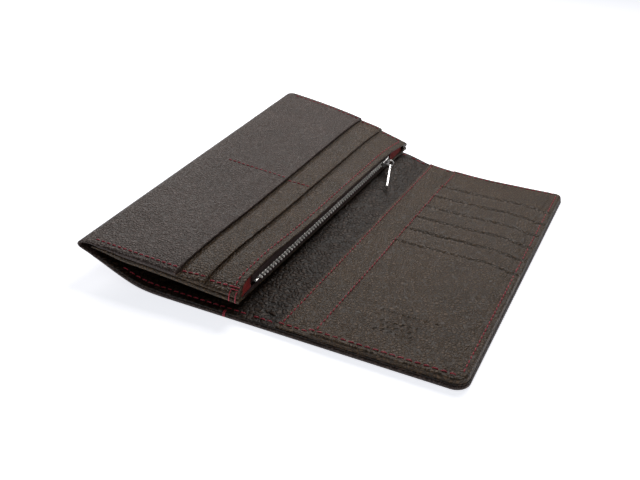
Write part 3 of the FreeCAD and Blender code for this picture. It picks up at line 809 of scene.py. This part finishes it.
# ---- right half panels ----
PANEL_NEAR, PANEL_FAR = ends_of("card_panel")
PANEL_CORNERS = (("near", 5.4), ("far", 3.4))
RIGHT_SEAM_X = RIGHT_EDGE - SEAM_INSET
CREASE_X = RIGHT_EDGE - 6.0
LINE_SEAM = 1.6


def pocket_relief(x, y):
    seam = groove(x - LONG_POCKET_EDGE - LINE_SEAM, 0.22, 0.7)
    press = groove(x - CARD_PANEL_EDGE + 1.0, 0.3, 0.8)
    return fine_relief(x, y) * 0.8 + seam + press + 0.12 * rolling(x, y, 12.0, 14)


long_pocket = layer(
    "long_pocket_panel_leather", PANEL, crowd(LONG_POCKET_EDGE, PANEL_RIGHT, 1.0, 0.35, 0.35),
    crowd(PANEL_NEAR, PANEL_FAR, 1.0, 0.5, 0.5), pocket_top, PANEL_LEATHER, 0.33, corners=PANEL_CORNERS,
    relief=pocket_relief,
)
finish_piece(long_pocket, ["long_pocket_panel"], "right_half")


def edge_seams(x, y):
    dents = groove(x - RIGHT_SEAM_X, 0.2, 0.6) + groove(x - CREASE_X, 0.5, 0.45)
    return dents + end_seams(y, 0.22, 0.6) + groove(x - CARD_PANEL_EDGE - LINE_SEAM, 0.22, 0.6)


def card_relief(x, y):
    return fine_relief(x, y) * 0.8 + edge_seams(x, y) + 0.15 * rolling(x, y, 14.0, 17)


def mouth_relief(mouth):
    """The card panel's relief with a rolled mouth and the crease pressed just inside it."""
    def relief(x, y):
        inward = mouth - y
        crease = groove(inward - 3.3, 0.36, 0.9)
        bead = 0.6 * np.exp(-(((inward - 1.4) / 1.1) ** 2))
        loose = 0.09 * rolling(x, y * 1.6, 5.0, 19) * smooth((x - CARD_PANEL_EDGE) / 10.0)
        return card_relief(x, y) + crease + bead + loose
    return relief


card_panel = layer(
    "card_panel_leather", PANEL, crowd(CARD_PANEL_EDGE, PANEL_RIGHT, 0.9, 0.3, 0.9),
    crowd(PANEL_NEAR, PANEL_FAR, 0.9, 0.9, 0.9), card_top, CARD_BASE, 0.9, corners=PANEL_CORNERS,
    relief=card_relief, rim_extra=1.6, rim_reach=2.4, rim_sides=("right", "near", "far"),
)
finish_piece(card_panel, ["card_panel"], "right_half")

SLOT_PITCH = SLOT_MOUTHS[0] - SLOT_MOUTHS[1]
SLOT_STEP = SLOT_LEATHER + 2 * LAYER_GAP
MOUTH_TURN = 4.5
MOUTH_TURN_START = 62.0
MOUTH_TURN_RUN = 24.0


def slot_top(x, y, drop):
    """The top of a card slot: it stands on the slot below at its mouth, where drop is 0."""
    return card_top(x, y) + LAYER_GAP + SLOT_LEATHER + SLOT_STEP * (1 - drop) * 0.9


def slot_height(mouth):
    def height(x, y):
        return slot_top(x, y, np.clip((mouth - y) / SLOT_PITCH, 0, 1))
    return height


def mouth_edge(x):
    """How far the mouths turn towards the near end at their right-hand ends."""
    return -MOUTH_TURN * smooth((x - MOUTH_TURN_START) / MOUTH_TURN_RUN) ** 2


for number, mouth in enumerate(SLOT_MOUTHS[:5], 1):
    xs = crowd(CARD_PANEL_EDGE, PANEL_RIGHT - 0.2, 0.7, 0.3, 0.6)
    slot_piece = layer(
        "card_slot_leather_%d" % number, PANEL, xs, crowd(mouth - SLOT_PITCH - 3.0, mouth, 0.7, 0, 0.6),
        slot_height(mouth), SLOT_LEATHER, 0.31, rims=("left", "right", "far"), relief=mouth_relief(mouth),
    )
    for vertex in slot_piece.data.vertices:
        vertex.co.y += float(mouth_edge(vertex.co.x / MM)) * MM
    finish_piece(slot_piece, ["card_slot_%d" % number], "right_half")

ORNAMENT_X = (41.0, 68.0)
ORNAMENT_Y = (-85.0, -62.0)
BORDER_PITCH = 2.3
LATTICE_PITCH = 2.9
LATTICE_ROW = 3.2


def lozenge(x, y, cx, cy, half_x, half_y):
    """1 inside a lozenge and 0 outside, with a soft edge."""
    return smooth((1.0 - np.abs(x - cx) / half_x - np.abs(y - cy) / half_y) * 3.0)


def ornament(x, y):
    """A plain pressed row of lozenges with a lattice of them below it."""
    pressed = np.zeros(np.shape(x))
    left, top = ORNAMENT_X[0], ORNAMENT_Y[1]
    for k in range(11):
        pressed = np.maximum(pressed, lozenge(x, y, left + 2.5 + BORDER_PITCH * k, top - 3.0, 1.0, 1.5))
    for row in range(3):
        cy = top - 10.5 - LATTICE_ROW * row
        for k in range(6 - row % 2):
            cx = left + 5.0 + LATTICE_PITCH * (k + row % 2 / 2)
            pressed = np.maximum(pressed, lozenge(x, y, cx, cy, 1.25, 1.6))
    return -0.34 * pressed


def front_relief(x, y):
    return mouth_relief(SLOT_MOUTHS[5])(x, y) + ornament(x, y)


def front_height(x, y):
    return slot_top(x, y, smooth((SLOT_MOUTHS[5] - y) / 14.0))


def panel_floor(x, y):
    """The rolled edge of the card pockets comes down over the long pocket's edge."""
    return lining_top(x, y) + EDGE_GAP


front_xs = crowd(CARD_PANEL_EDGE, PANEL_RIGHT - 0.2, 0.8, 0.3, 0.9, (ORNAMENT_X[0], ORNAMENT_X[1], 0.3))
front_ys = crowd(PANEL_NEAR, SLOT_MOUTHS[5], 0.8, 0.9, 0.6, (ORNAMENT_Y[0], ORNAMENT_Y[1], 0.3))
front_pocket = layer(
    "card_front_pocket_leather", PANEL, front_xs, front_ys, front_height, SLOT_LEATHER, 1.0,
    corners=PANEL_CORNERS[:1], relief=front_relief, rim_floor=panel_floor, rim_reach=2.4,
    rim_sides=("right", "near"),
)
for vertex in front_pocket.data.vertices:
    share = smooth((vertex.co.y / MM - SLOT_MOUTHS[5] + 20.0) / 20.0)
    vertex.co.y += float(mouth_edge(vertex.co.x / MM) * share) * MM
finish_piece(front_pocket, ["card_front_pocket"], "right_half")

# ---- the leaf ----
LEAF_YS = crowd(Y_NEAR + 0.1, Y_FAR - 0.1, 0.9, 0.8, 0.8)


def leaf_relief(x, y):
    pulled = 0.1 * rolling(x * 0.5, y, 3.2, 22) * np.exp(-(((y - Y_NEAR) / 16.0) ** 2))
    return fine_relief(x, y) + pulled + end_seams(y, 0.2, 0.6)


def strip_relief(x, y):
    """The strip sinks a little beside the edge of the leather that lies on it."""
    return leaf_relief(x, y) + groove(x - PLAIN_EDGE - 0.2, 0.6, 1.2)


def zip_relief(x, y):
    seam_line = groove(x - (zip_edge(y) - 3.2), 0.2, 0.6)
    return leaf_relief(x, y) + seam_line + groove(x - STRIP_EDGE - 0.2, 0.6, 1.2)


TUCK = 8.0  # how far each panel runs on under the one before it
TOP_PANELS = (
    ("leaf_slot_strip", crowd(PLAIN_EDGE - TUCK, STRIP_EDGE, 0.8, 0, 0.6), strip_top, strip_relief, None),
    ("leaf_zip_panel", crowd(STRIP_EDGE - TUCK, ZIP_EDGE, 0.8, 0, 0.7), zip_panel_top, zip_relief, zip_edge),
)
for node, xs, height, relief, edge in TOP_PANELS:
    top_panel = layer(
        node + "_leather", PANEL, xs, LEAF_YS, height, STRIP_LEATHER, 0.8, rims=CUT_LEFT, relief=relief,
        edge=edge, rim_floor=leaf_split, rim_sides=("near", "far"),
    )
    finish_piece(top_panel, [node], "leaf")


def bottom_panel():
    xs = crowd(low("leaf_bottom_panel")[0], ZIP_EDGE, 1.3, 0.4, 0.7)
    x, y = np.meshgrid(xs, LEAF_YS, indexing="ij")
    distance = np.minimum(np.minimum(y - LEAF_YS[0], LEAF_YS[-1] - y), np.minimum(x - xs[0], xs[-1] - x))
    x = xs[0] + (x - xs[0]) * (zip_edge(y) - xs[0]) / (xs[-1] - xs[0])
    top = leaf_bottom_top(x, y)
    base = leaf_underside(x, y)
    drop = rounding(distance, np.minimum(0.9, (top - base) * 0.48))
    upper = np.stack([x, y, top - drop], -1)
    lower = np.stack([x, y, base + drop - 0.05 * pebbles(x, y, 2.0, 41) * smooth(distance / 1.2)], -1)
    return shell("leaf_bottom_leather", upper, lower, PANEL)


finish_piece(bottom_panel(), ["leaf_bottom_panel"], "leaf")

# ---- coin pouch, tapes and teeth ----
POUCH_MOUTH = high("pouch_lining_upper")[0]
pouch_ys = np.linspace(*ends_of("pouch_lining_upper"), 90)


def pouch_roof(x, y):
    return zip_panel_top(x, y) - STRIP_LEATHER - 0.85


def pouch_floor(x, y):
    return leaf_underside(x, y) + LEAF_BOTTOM_LEATHER + 0.5


def creased(x, y):
    return 0.12 * rolling(x, y, 5.0, 51)


POUCH_LININGS = (
    ("pouch_lining_top", "pouch_lining_upper", pouch_roof, 30),
    ("pouch_lining_floor", "pouch_lining_lower", pouch_floor, 40),
)
for name, node, height, count in POUCH_LININGS:
    xs = np.linspace(low(node)[0], POUCH_MOUTH, count)
    lining = layer(name, RED, xs, pouch_ys, height, 0.3, 0.14, relief=creased)
    finish_piece(lining, [node], "leaf")


def wall(name, material, y0, y1, bottom, top, x_mid, thick, bow, ripple):
    """An upright strip of cloth along Y. Its middle height stands in towards the fold by bow, or out
    where bow is negative."""
    ys = np.linspace(y0, y1, max(8, int((y1 - y0) / 1.2)))
    heights = np.linspace(0, 1, 9)
    y, share = np.meshgrid(ys, heights, indexing="ij")
    z0 = bottom(np.full(y.shape, x_mid), y)
    z1 = top(np.full(y.shape, x_mid), y)
    z = z0 + (z1 - z0) * share
    x = x_mid - bow * np.sin(math.pi * share) + ripple * rolling(y, z, 3.0, 61)
    front = np.stack([x + thick / 2, y, z], -1)
    back = np.stack([x - thick / 2, y, z], -1)
    return shell(name, front, back, material)


def roof_edge(x, y):
    return zip_panel_top(x, y) - STRIP_LEATHER


def floor_edge(x, y):
    return leaf_underside(x, y) + LEAF_BOTTOM_LEATHER


tape_y = ends_of("zip_tape_upper")


def upper_tape_bottom(x, y):
    return chain_height(y) + 1.0


tape_upper = wall(
    "zip_tape_top", TAPE, tape_y[0], tape_y[1], upper_tape_bottom, roof_edge, CHAIN_X, 0.5, -0.3, 0.1
)
finish_piece(tape_upper, ["zip_tape_upper"], "leaf")
pouch_near = low("pouch_gusset_near")[1]


def lower_tape_top(x, y):
    """The lower tape rises from the pouch's near corner to the teeth."""
    share = smooth((y - pouch_near) / (tape_y[0] - pouch_near))
    return floor_edge(x, y) + (chain_height(y) - 1.0 - floor_edge(x, y)) * (0.06 + 0.94 * share)


tape_lower = wall(
    "zip_tape_bottom", TAPE, pouch_near, tape_y[1], floor_edge, lower_tape_top, CHAIN_X + 0.15, 0.5, -0.3, 0.1
)
finish_piece(tape_lower, ["zip_tape_lower"], "leaf")
for end in ("near", "far"):
    node = "pouch_gusset_" + end
    gusset = wall(node + "_cloth", RED, *ends_of(node), floor_edge, roof_edge, CHAIN_X, 0.3, 0.3, 0.25)
    finish_piece(gusset, [node], "leaf")

TOOTH_PITCH = 2.4


def tooth_row(name, node, direction):
    first, last = ends_of(node)
    count = int(round((last - first) / TOOTH_PITCH)) + 1
    body_points, body_faces = rounded_box(1.4, 0.95, 0.75, 0.2)
    head_points, head_faces = rounded_box(1.0, 1.1, 0.3, 0.13)
    pieces = []
    for i in range(count):
        y = first + 0.6 + (i + (0.5 if direction < 0 else 0.0)) * TOOTH_PITCH
        if y > last - 0.5:
            break
        z = chain_height(y)
        pieces.append((body_points + [CHAIN_X, y, z + direction * 0.95], body_faces))
        pieces.append((head_points + [CHAIN_X - 0.25, y, z + direction * 0.42], head_faces))
    solid_piece(name, node, "zip_teeth", "leaf", *joined(pieces), TEETH)


tooth_row("zip_teeth_row_top", "zip_teeth_upper", 1)
tooth_row("zip_teeth_row_bottom", "zip_teeth_lower", -1)


def zip_stop(name, node, size, bevel, heights):
    """Small metal blocks at the middle of a CAD node, one at each height above it."""
    points, faces = rounded_box(*size, bevel)
    places = [np.array(middle(node)) + [0, 0, height] for height in heights]
    blocks = joined([(points + place, faces) for place in places])
    solid_piece(name, node, "bright_metal", "leaf", *blocks, METAL)


zip_stop("zip_stop_near_clip", "zip_stop_near", (1.5, 2.6, 0.9), 0.3, (0.0,))
zip_stop("zip_stops_far_clips", "zip_stops_far", (1.6, 1.6, 1.0), 0.22, (0.85, -0.85))

# ---- zip slider and its pull ----
_, slider_y, slider_z = middle("zip_slider")
face_x = CHAIN_X + 1.9
SLIDER_OUTLINE = mirrored([(-3.9, -1.2), (-3.0, -1.55), (0.2, -1.7), (2.4, -2.05), (3.6, -1.95), (4.0, -1.2)])
slider_pieces = []
for plate_x in (face_x - 0.4, CHAIN_X - 1.5):
    plate_points, plate_faces = bevelled(SLIDER_OUTLINE, 0.8, 0.22)
    slider_pieces.append((facing_x(plate_points) + [plate_x, slider_y, slider_z], plate_faces))
web_points, web_faces = rounded_box(3.0, 1.6, 0.18, 0.06)
slider_pieces.append((web_points + [CHAIN_X, slider_y + 2.6, slider_z], web_faces))
bail_path = []
for share in np.linspace(0, 1, 15):
    angle = math.pi * share
    bail_x = face_x - 0.15 + 1.5 * math.sin(angle) ** 0.7
    bail_path.append([bail_x, slider_y - 1.8 * math.cos(angle), slider_z])
bail_points, bail_faces = tube(bail_path, 0.3, 8)
bail_points[:, 2] = slider_z + (bail_points[:, 2] - slider_z) * 1.5
slider_pieces.append((bail_points, bail_faces))
slider_mesh = joined(slider_pieces)
solid_piece("zip_slider_metal", "zip_slider", "bright_metal", "zip_slider_body", *slider_mesh, SLIDER_METAL)

YAW = math.radians(17.5)
DROOP = math.radians(9.0)
swing = np.array([face_x + 0.62, slider_y, slider_z])
forward = np.array([math.cos(YAW), math.sin(YAW), 0.0])
sideways = np.array([-math.sin(YAW), math.cos(YAW), 0.0])
upward = np.array([0.0, 0.0, 1.0])
RING_RADIUS = 1.75
ring_centre = swing + forward * RING_RADIUS
ring_path = [
    ring_centre + RING_RADIUS * (math.cos(a) * forward + math.sin(a) * upward)
    for a in np.linspace(0, 2 * math.pi, 33)[:-1]
]
ring_mesh = tube(ring_path, 0.38, 10, closed=True)
solid_piece("pull_ring_metal", "pull_ring", "bright_metal", "pull_ring_body", *ring_mesh, METAL, True)

PULL_LENGTH = 22.0
PULL_OUTLINE = mirrored([
    (-PULL_LENGTH, -0.7), (0.3 - PULL_LENGTH, -1.0), (-1.4, -0.95), (-0.6, -1.15), (0.4, -1.05), (1.0, -0.5),
])
pull_points, pull_faces = bevelled(PULL_OUTLINE, 1.1, 0.28)
pull_points = facing_x(pull_points)
lowered = pull_points.copy()
lowered[:, 1] = pull_points[:, 1] * math.cos(DROOP) - pull_points[:, 2] * math.sin(DROOP)
lowered[:, 2] = pull_points[:, 1] * math.sin(DROOP) + pull_points[:, 2] * math.cos(DROOP)
eye = ring_centre - upward * RING_RADIUS
turned = eye + lowered[:, :1] * forward + lowered[:, 1:2] * sideways + lowered[:, 2:] * upward
solid_piece("pull_bar_metal", "pull_bar", "bright_metal", "pull_bar_body", turned, pull_faces, METAL)


# ---- stitching ----
STITCH_RADIUS = 0.25
STITCH_SHARE = 0.68


def stitch(place, direction, normal, length):
    """One stitch: a short thread that rises from the leather and goes back in."""
    side = np.cross(normal, direction)
    slant = unit(direction + side * random.uniform(0.06, 0.2))
    shares = (-0.5, -0.34, 0.0, 0.34, 0.5)
    lifts = (-0.25, 0.1, 0.2, 0.1, -0.25)
    path = [place + slant * (share * length) + normal * lift for share, lift in zip(shares, lifts)]
    return tube(path, [STITCH_RADIUS * share for share in (0.75, 1.0, 1.05, 1.0, 0.75)], 6)


def seam(path_of, start, stop, pitch):
    """Stitches along a path; path_of gives the point on the leather at a distance along the seam."""
    pieces = []
    count = max(1, int(round((stop - start) / pitch)))
    for i in range(count):
        at = start + (i + 0.5) * (stop - start) / count
        here, ahead = [np.array(path_of(place), float) for place in (at, at + 0.4)]
        direction = unit(ahead - here)
        normal = unit(np.cross(direction, np.cross([0.0, 0.0, 1.0], direction)))
        size = pitch * STITCH_SHARE * random.uniform(0.92, 1.06)
        pieces.append(stitch(here, direction, normal, size))
    return pieces


def thread_piece(name, pieces, nodes, body):
    return finish_piece(mesh_object(name, *joined(pieces), THREAD), nodes, body)


def down_y(x, height):
    """A seam at one X, running along Y."""
    place = x if callable(x) else (lambda y: x)
    return lambda y: (place(y), y, float(height(np.float64(place(y)), np.float64(y))))


def across_x(y, height):
    return lambda x: (x, y, float(height(np.float64(x), np.float64(y))))


NEAR_SEAM = Y_NEAR + SEAM_INSET
FAR_SEAM = Y_FAR - SEAM_INSET
PITCH = 2.9
RIM_PITCH = 3.3
LEFT_SEAM_X = -66.0
DIVIDER_PITCH = 2.6


def front_surface(x, y):
    if y < SLOT_MOUTHS[5] - 1:
        return front_height(x, y)
    for mouth in reversed(SLOT_MOUTHS[:5]):
        if y < mouth + float(mouth_edge(x)):
            return slot_height(mouth)(x, np.maximum(y, mouth - SLOT_PITCH))
    return card_top(x, y)


def sew(name, node, body, *runs):
    """One piece of thread from runs of stitches: each is a path, its start and stop, and the pitch."""
    pieces = []
    for run in runs:
        pieces += seam(*run)
    thread_piece(name, pieces, [node], body)


LINE_RUN = (NEAR_SEAM + 1, FAR_SEAM - 1, PITCH)
long_pocket_line = down_y(LONG_POCKET_EDGE + LINE_SEAM, pocket_top)
sew("stitches_long_pocket", "seam_long_pocket", "right_half", (long_pocket_line, *LINE_RUN))
card_panel_line = down_y(CARD_PANEL_EDGE + LINE_SEAM, front_surface)
sew("stitches_card_panel", "seam_card_panel_far", "right_half", (card_panel_line, *LINE_RUN))
edge_run = (down_y(RIGHT_SEAM_X, front_surface), NEAR_SEAM + 2.5, FAR_SEAM - 1.5, PITCH)
sew("stitches_right_edge", "seam_right_edge", "right_half", edge_run)


def right_far_surface(x, y):
    if x < LONG_POCKET_EDGE:
        return lining_top(x, y)
    if x < CARD_PANEL_EDGE:
        return pocket_top(x, y)
    return card_top(x, y)


def right_near_surface(x, y):
    if x < CARD_PANEL_EDGE:
        return right_far_surface(x, y)
    return front_height(x, y)


near_run = (across_x(NEAR_SEAM, right_near_surface), SPINE_RIGHT + 1, RIGHT_SEAM_X - 1.5, RIM_PITCH)
sew("stitches_right_near", "seam_right_near", "right_half", near_run)
far_run = (across_x(FAR_SEAM, right_far_surface), SPINE_RIGHT + 1, RIGHT_SEAM_X - 1, RIM_PITCH)
sew("stitches_right_far", "seam_right_far", "right_half", far_run)
spine_pieces = []
left_pieces = []
for seam_y in (NEAR_SEAM, FAR_SEAM):
    spine_pieces += seam(across_x(seam_y, lining_top), SPINE_LEFT + 1.5, SPINE_RIGHT - 1.2, RIM_PITCH)
    left_pieces += seam(across_x(seam_y, left_lining_top), LEFT_SEAM_X, SPINE_LEFT - 1.5, RIM_PITCH)
thread_piece("stitches_spine", spine_pieces, ["seam_spine"], "spine")
thread_piece("stitches_left", left_pieces, ["seam_left"], "left_half")

zip_line = down_y(lambda y: float(zip_edge(y)) - 3.0, zip_panel_top)
sew("stitches_leaf_zip", "seam_leaf_zip", "leaf", (zip_line, *LINE_RUN))
for end, seam_y in (("near", NEAR_SEAM), ("far", FAR_SEAM)):
    sew(
        "stitches_leaf_" + end, "seam_leaf_" + end, "leaf",
        (across_x(seam_y, leaf_top), FOLD_START + 1, PLAIN_EDGE - 0.8, PITCH),
        (across_x(seam_y, strip_top), PLAIN_EDGE + 0.8, STRIP_EDGE - 0.8, PITCH),
        (across_x(seam_y, zip_panel_top), STRIP_EDGE + 0.8, ZIP_EDGE - 3.6, PITCH),
    )
sew(
    "stitches_leaf_divider", "seam_leaf_divider", "leaf",
    (across_x(0.0, leaf_top), low("seam_leaf_divider")[0], PLAIN_EDGE - 0.6, DIVIDER_PITCH),
    (across_x(0.0, strip_top), PLAIN_EDGE + 0.6, STRIP_EDGE - 0.6, DIVIDER_PITCH),
)


def wrap(x, bottom, top, inset, lean):
    """A turn of thread up the near edge, over the top and back into the leather."""
    front = Y_NEAR - 0.12
    path = [
        (x, Y_NEAR + 0.8, bottom),
        (x, front, bottom + 0.4),
        (x + lean * 0.5, front - 0.1, (bottom + top) / 2),
        (x + lean, front, top - 0.4),
        (x + lean, Y_NEAR + 0.6, top + 0.25),
        (x + lean, Y_NEAR + inset, top + 0.3),
        (x + lean, Y_NEAR + inset + 0.5, top - 0.3),
    ]
    return tube(path, 0.21, 6)


leaf_tack = []
for tack_x in (ZIP_EDGE - 4.6, ZIP_EDGE - 1.7):
    base = float(leaf_underside(tack_x, Y_NEAR)) + 0.3
    roof = float(zip_panel_top(tack_x, Y_NEAR))
    leaf_tack.append(wrap(tack_x, base, roof, 2.6, 0.3))
for bar_y in (Y_NEAR + 1.9, Y_NEAR + 3.3):
    bar_xs = np.linspace(ZIP_EDGE - 4.6, ZIP_EDGE - 1.5, 6)
    bar = [(x, bar_y + random.uniform(-0.15, 0.15), float(zip_panel_top(x, bar_y)) + 0.1) for x in bar_xs]
    leaf_tack.append(tube(bar, 0.2, 6))
thread_piece("tack_leaf_thread", leaf_tack, ["tack_leaf"], "leaf")
cover_tack_x = middle("tack_cover")[0]
cover_tack_top = float(lining_top(cover_tack_x, Y_NEAR))
cover_tack = [wrap(cover_tack_x + shift, 0.4, cover_tack_top, 1.4, 0.2) for shift in (0.0, 0.6)]
thread_piece("tack_cover_thread", cover_tack, ["tack_cover"], "left_half")

# ---- CAD nodes that stay: the boards inside the cover ----
for node_name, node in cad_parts.items():
    node.data.materials.clear()
    node.data.materials.append(BOARD if node_name.startswith("board") else PANEL)

# ---- floor, light and camera ----
floor_mesh = bpy.data.meshes.new("floor")
HALF = 4.0  # metres
corners = [(-HALF, -HALF, 0), (HALF, -HALF, 0), (HALF, HALF, 0), (-HALF, HALF, 0)]
floor_mesh.from_pydata(corners, [], [(0, 1, 2, 3)])
floor = bpy.data.objects.new("floor", floor_mesh)
floor.location.z = -0.0002
add_to_scene(floor)
floor_material, _, floor_shader = new_material("pale_floor")
preset(floor_shader, Base_Color=(0.9, 0.91, 0.95, 1), Roughness=0.9, Specular_IOR_Level=0.1)
preset(floor_shader, Emission_Color=(0.93, 0.95, 1.0, 1), Emission_Strength=0.78)
floor_mesh.materials.append(floor_material)

world = bpy.data.worlds.new("studio")
bpy.context.scene.world = world
world.use_nodes = True
preset(world.node_tree.nodes["Background"], Color=(1.0, 0.98, 0.97, 1), Strength=0.1)


def softbox(name, place, target, width, depth, power, colour=(1, 1, 1)):
    light = bpy.data.lights.new(name, "AREA")
    light.shape = "RECTANGLE"
    light.size = width
    light.size_y = depth
    light.energy = power
    light.color = colour
    holder = bpy.data.objects.new(name, light)
    holder.location = place
    aim = Vector(target) - Vector(place)
    holder.rotation_mode = "QUATERNION"
    holder.rotation_quaternion = aim.to_track_quat("-Z", "Y")
    add_to_scene(holder)


WARM = (1.0, 0.955, 0.92)
softbox("key", (-0.66, 0.5, 0.45), (0, 0, 0), 0.35, 0.3, 2.0, WARM)
softbox("behind", (-0.02, 0.38, 0.43), (0, 0.03, 0), 0.4, 0.32, 2.25, WARM)
softbox("overhead", (0.3, -0.2, 1.2), (0, 0, 0), 1.2, 0.9, 0.5, WARM)
softbox("front", (0.9, -0.5, 0.45), (0, 0, 0), 0.25, 0.25, 0.7)

TARGET = Vector((-9.22, -14.63, 0.0)) * MM
DISTANCE = 362.55 * MM
AZIMUTH = math.radians(25.03)
ELEVATION = math.radians(27.54)
ROLL = math.radians(2.31)
back = Vector((
    math.sin(AZIMUTH) * math.cos(ELEVATION), -math.cos(AZIMUTH) * math.cos(ELEVATION), math.sin(ELEVATION)
))
level = Vector((math.cos(AZIMUTH), math.sin(AZIMUTH), 0))
above = back.cross(level)
image_right = level * math.cos(ROLL) + above * math.sin(ROLL)
image_up = above * math.cos(ROLL) - level * math.sin(ROLL)
camera_data = bpy.data.cameras.new("camera")
camera_data.lens = 41.8
camera_data.sensor_width = 36.0
camera_data.clip_start = 0.01
camera_data.dof.use_dof = False
camera = bpy.data.objects.new("camera", camera_data)
turn = Matrix((image_right, image_up, back)).transposed()
camera.matrix_world = Matrix.Translation(TARGET + back * DISTANCE) @ turn.to_4x4()
add_to_scene(camera)
bpy.context.scene.camera = camera
bpy.context.scene.view_settings.view_transform = "Standard"
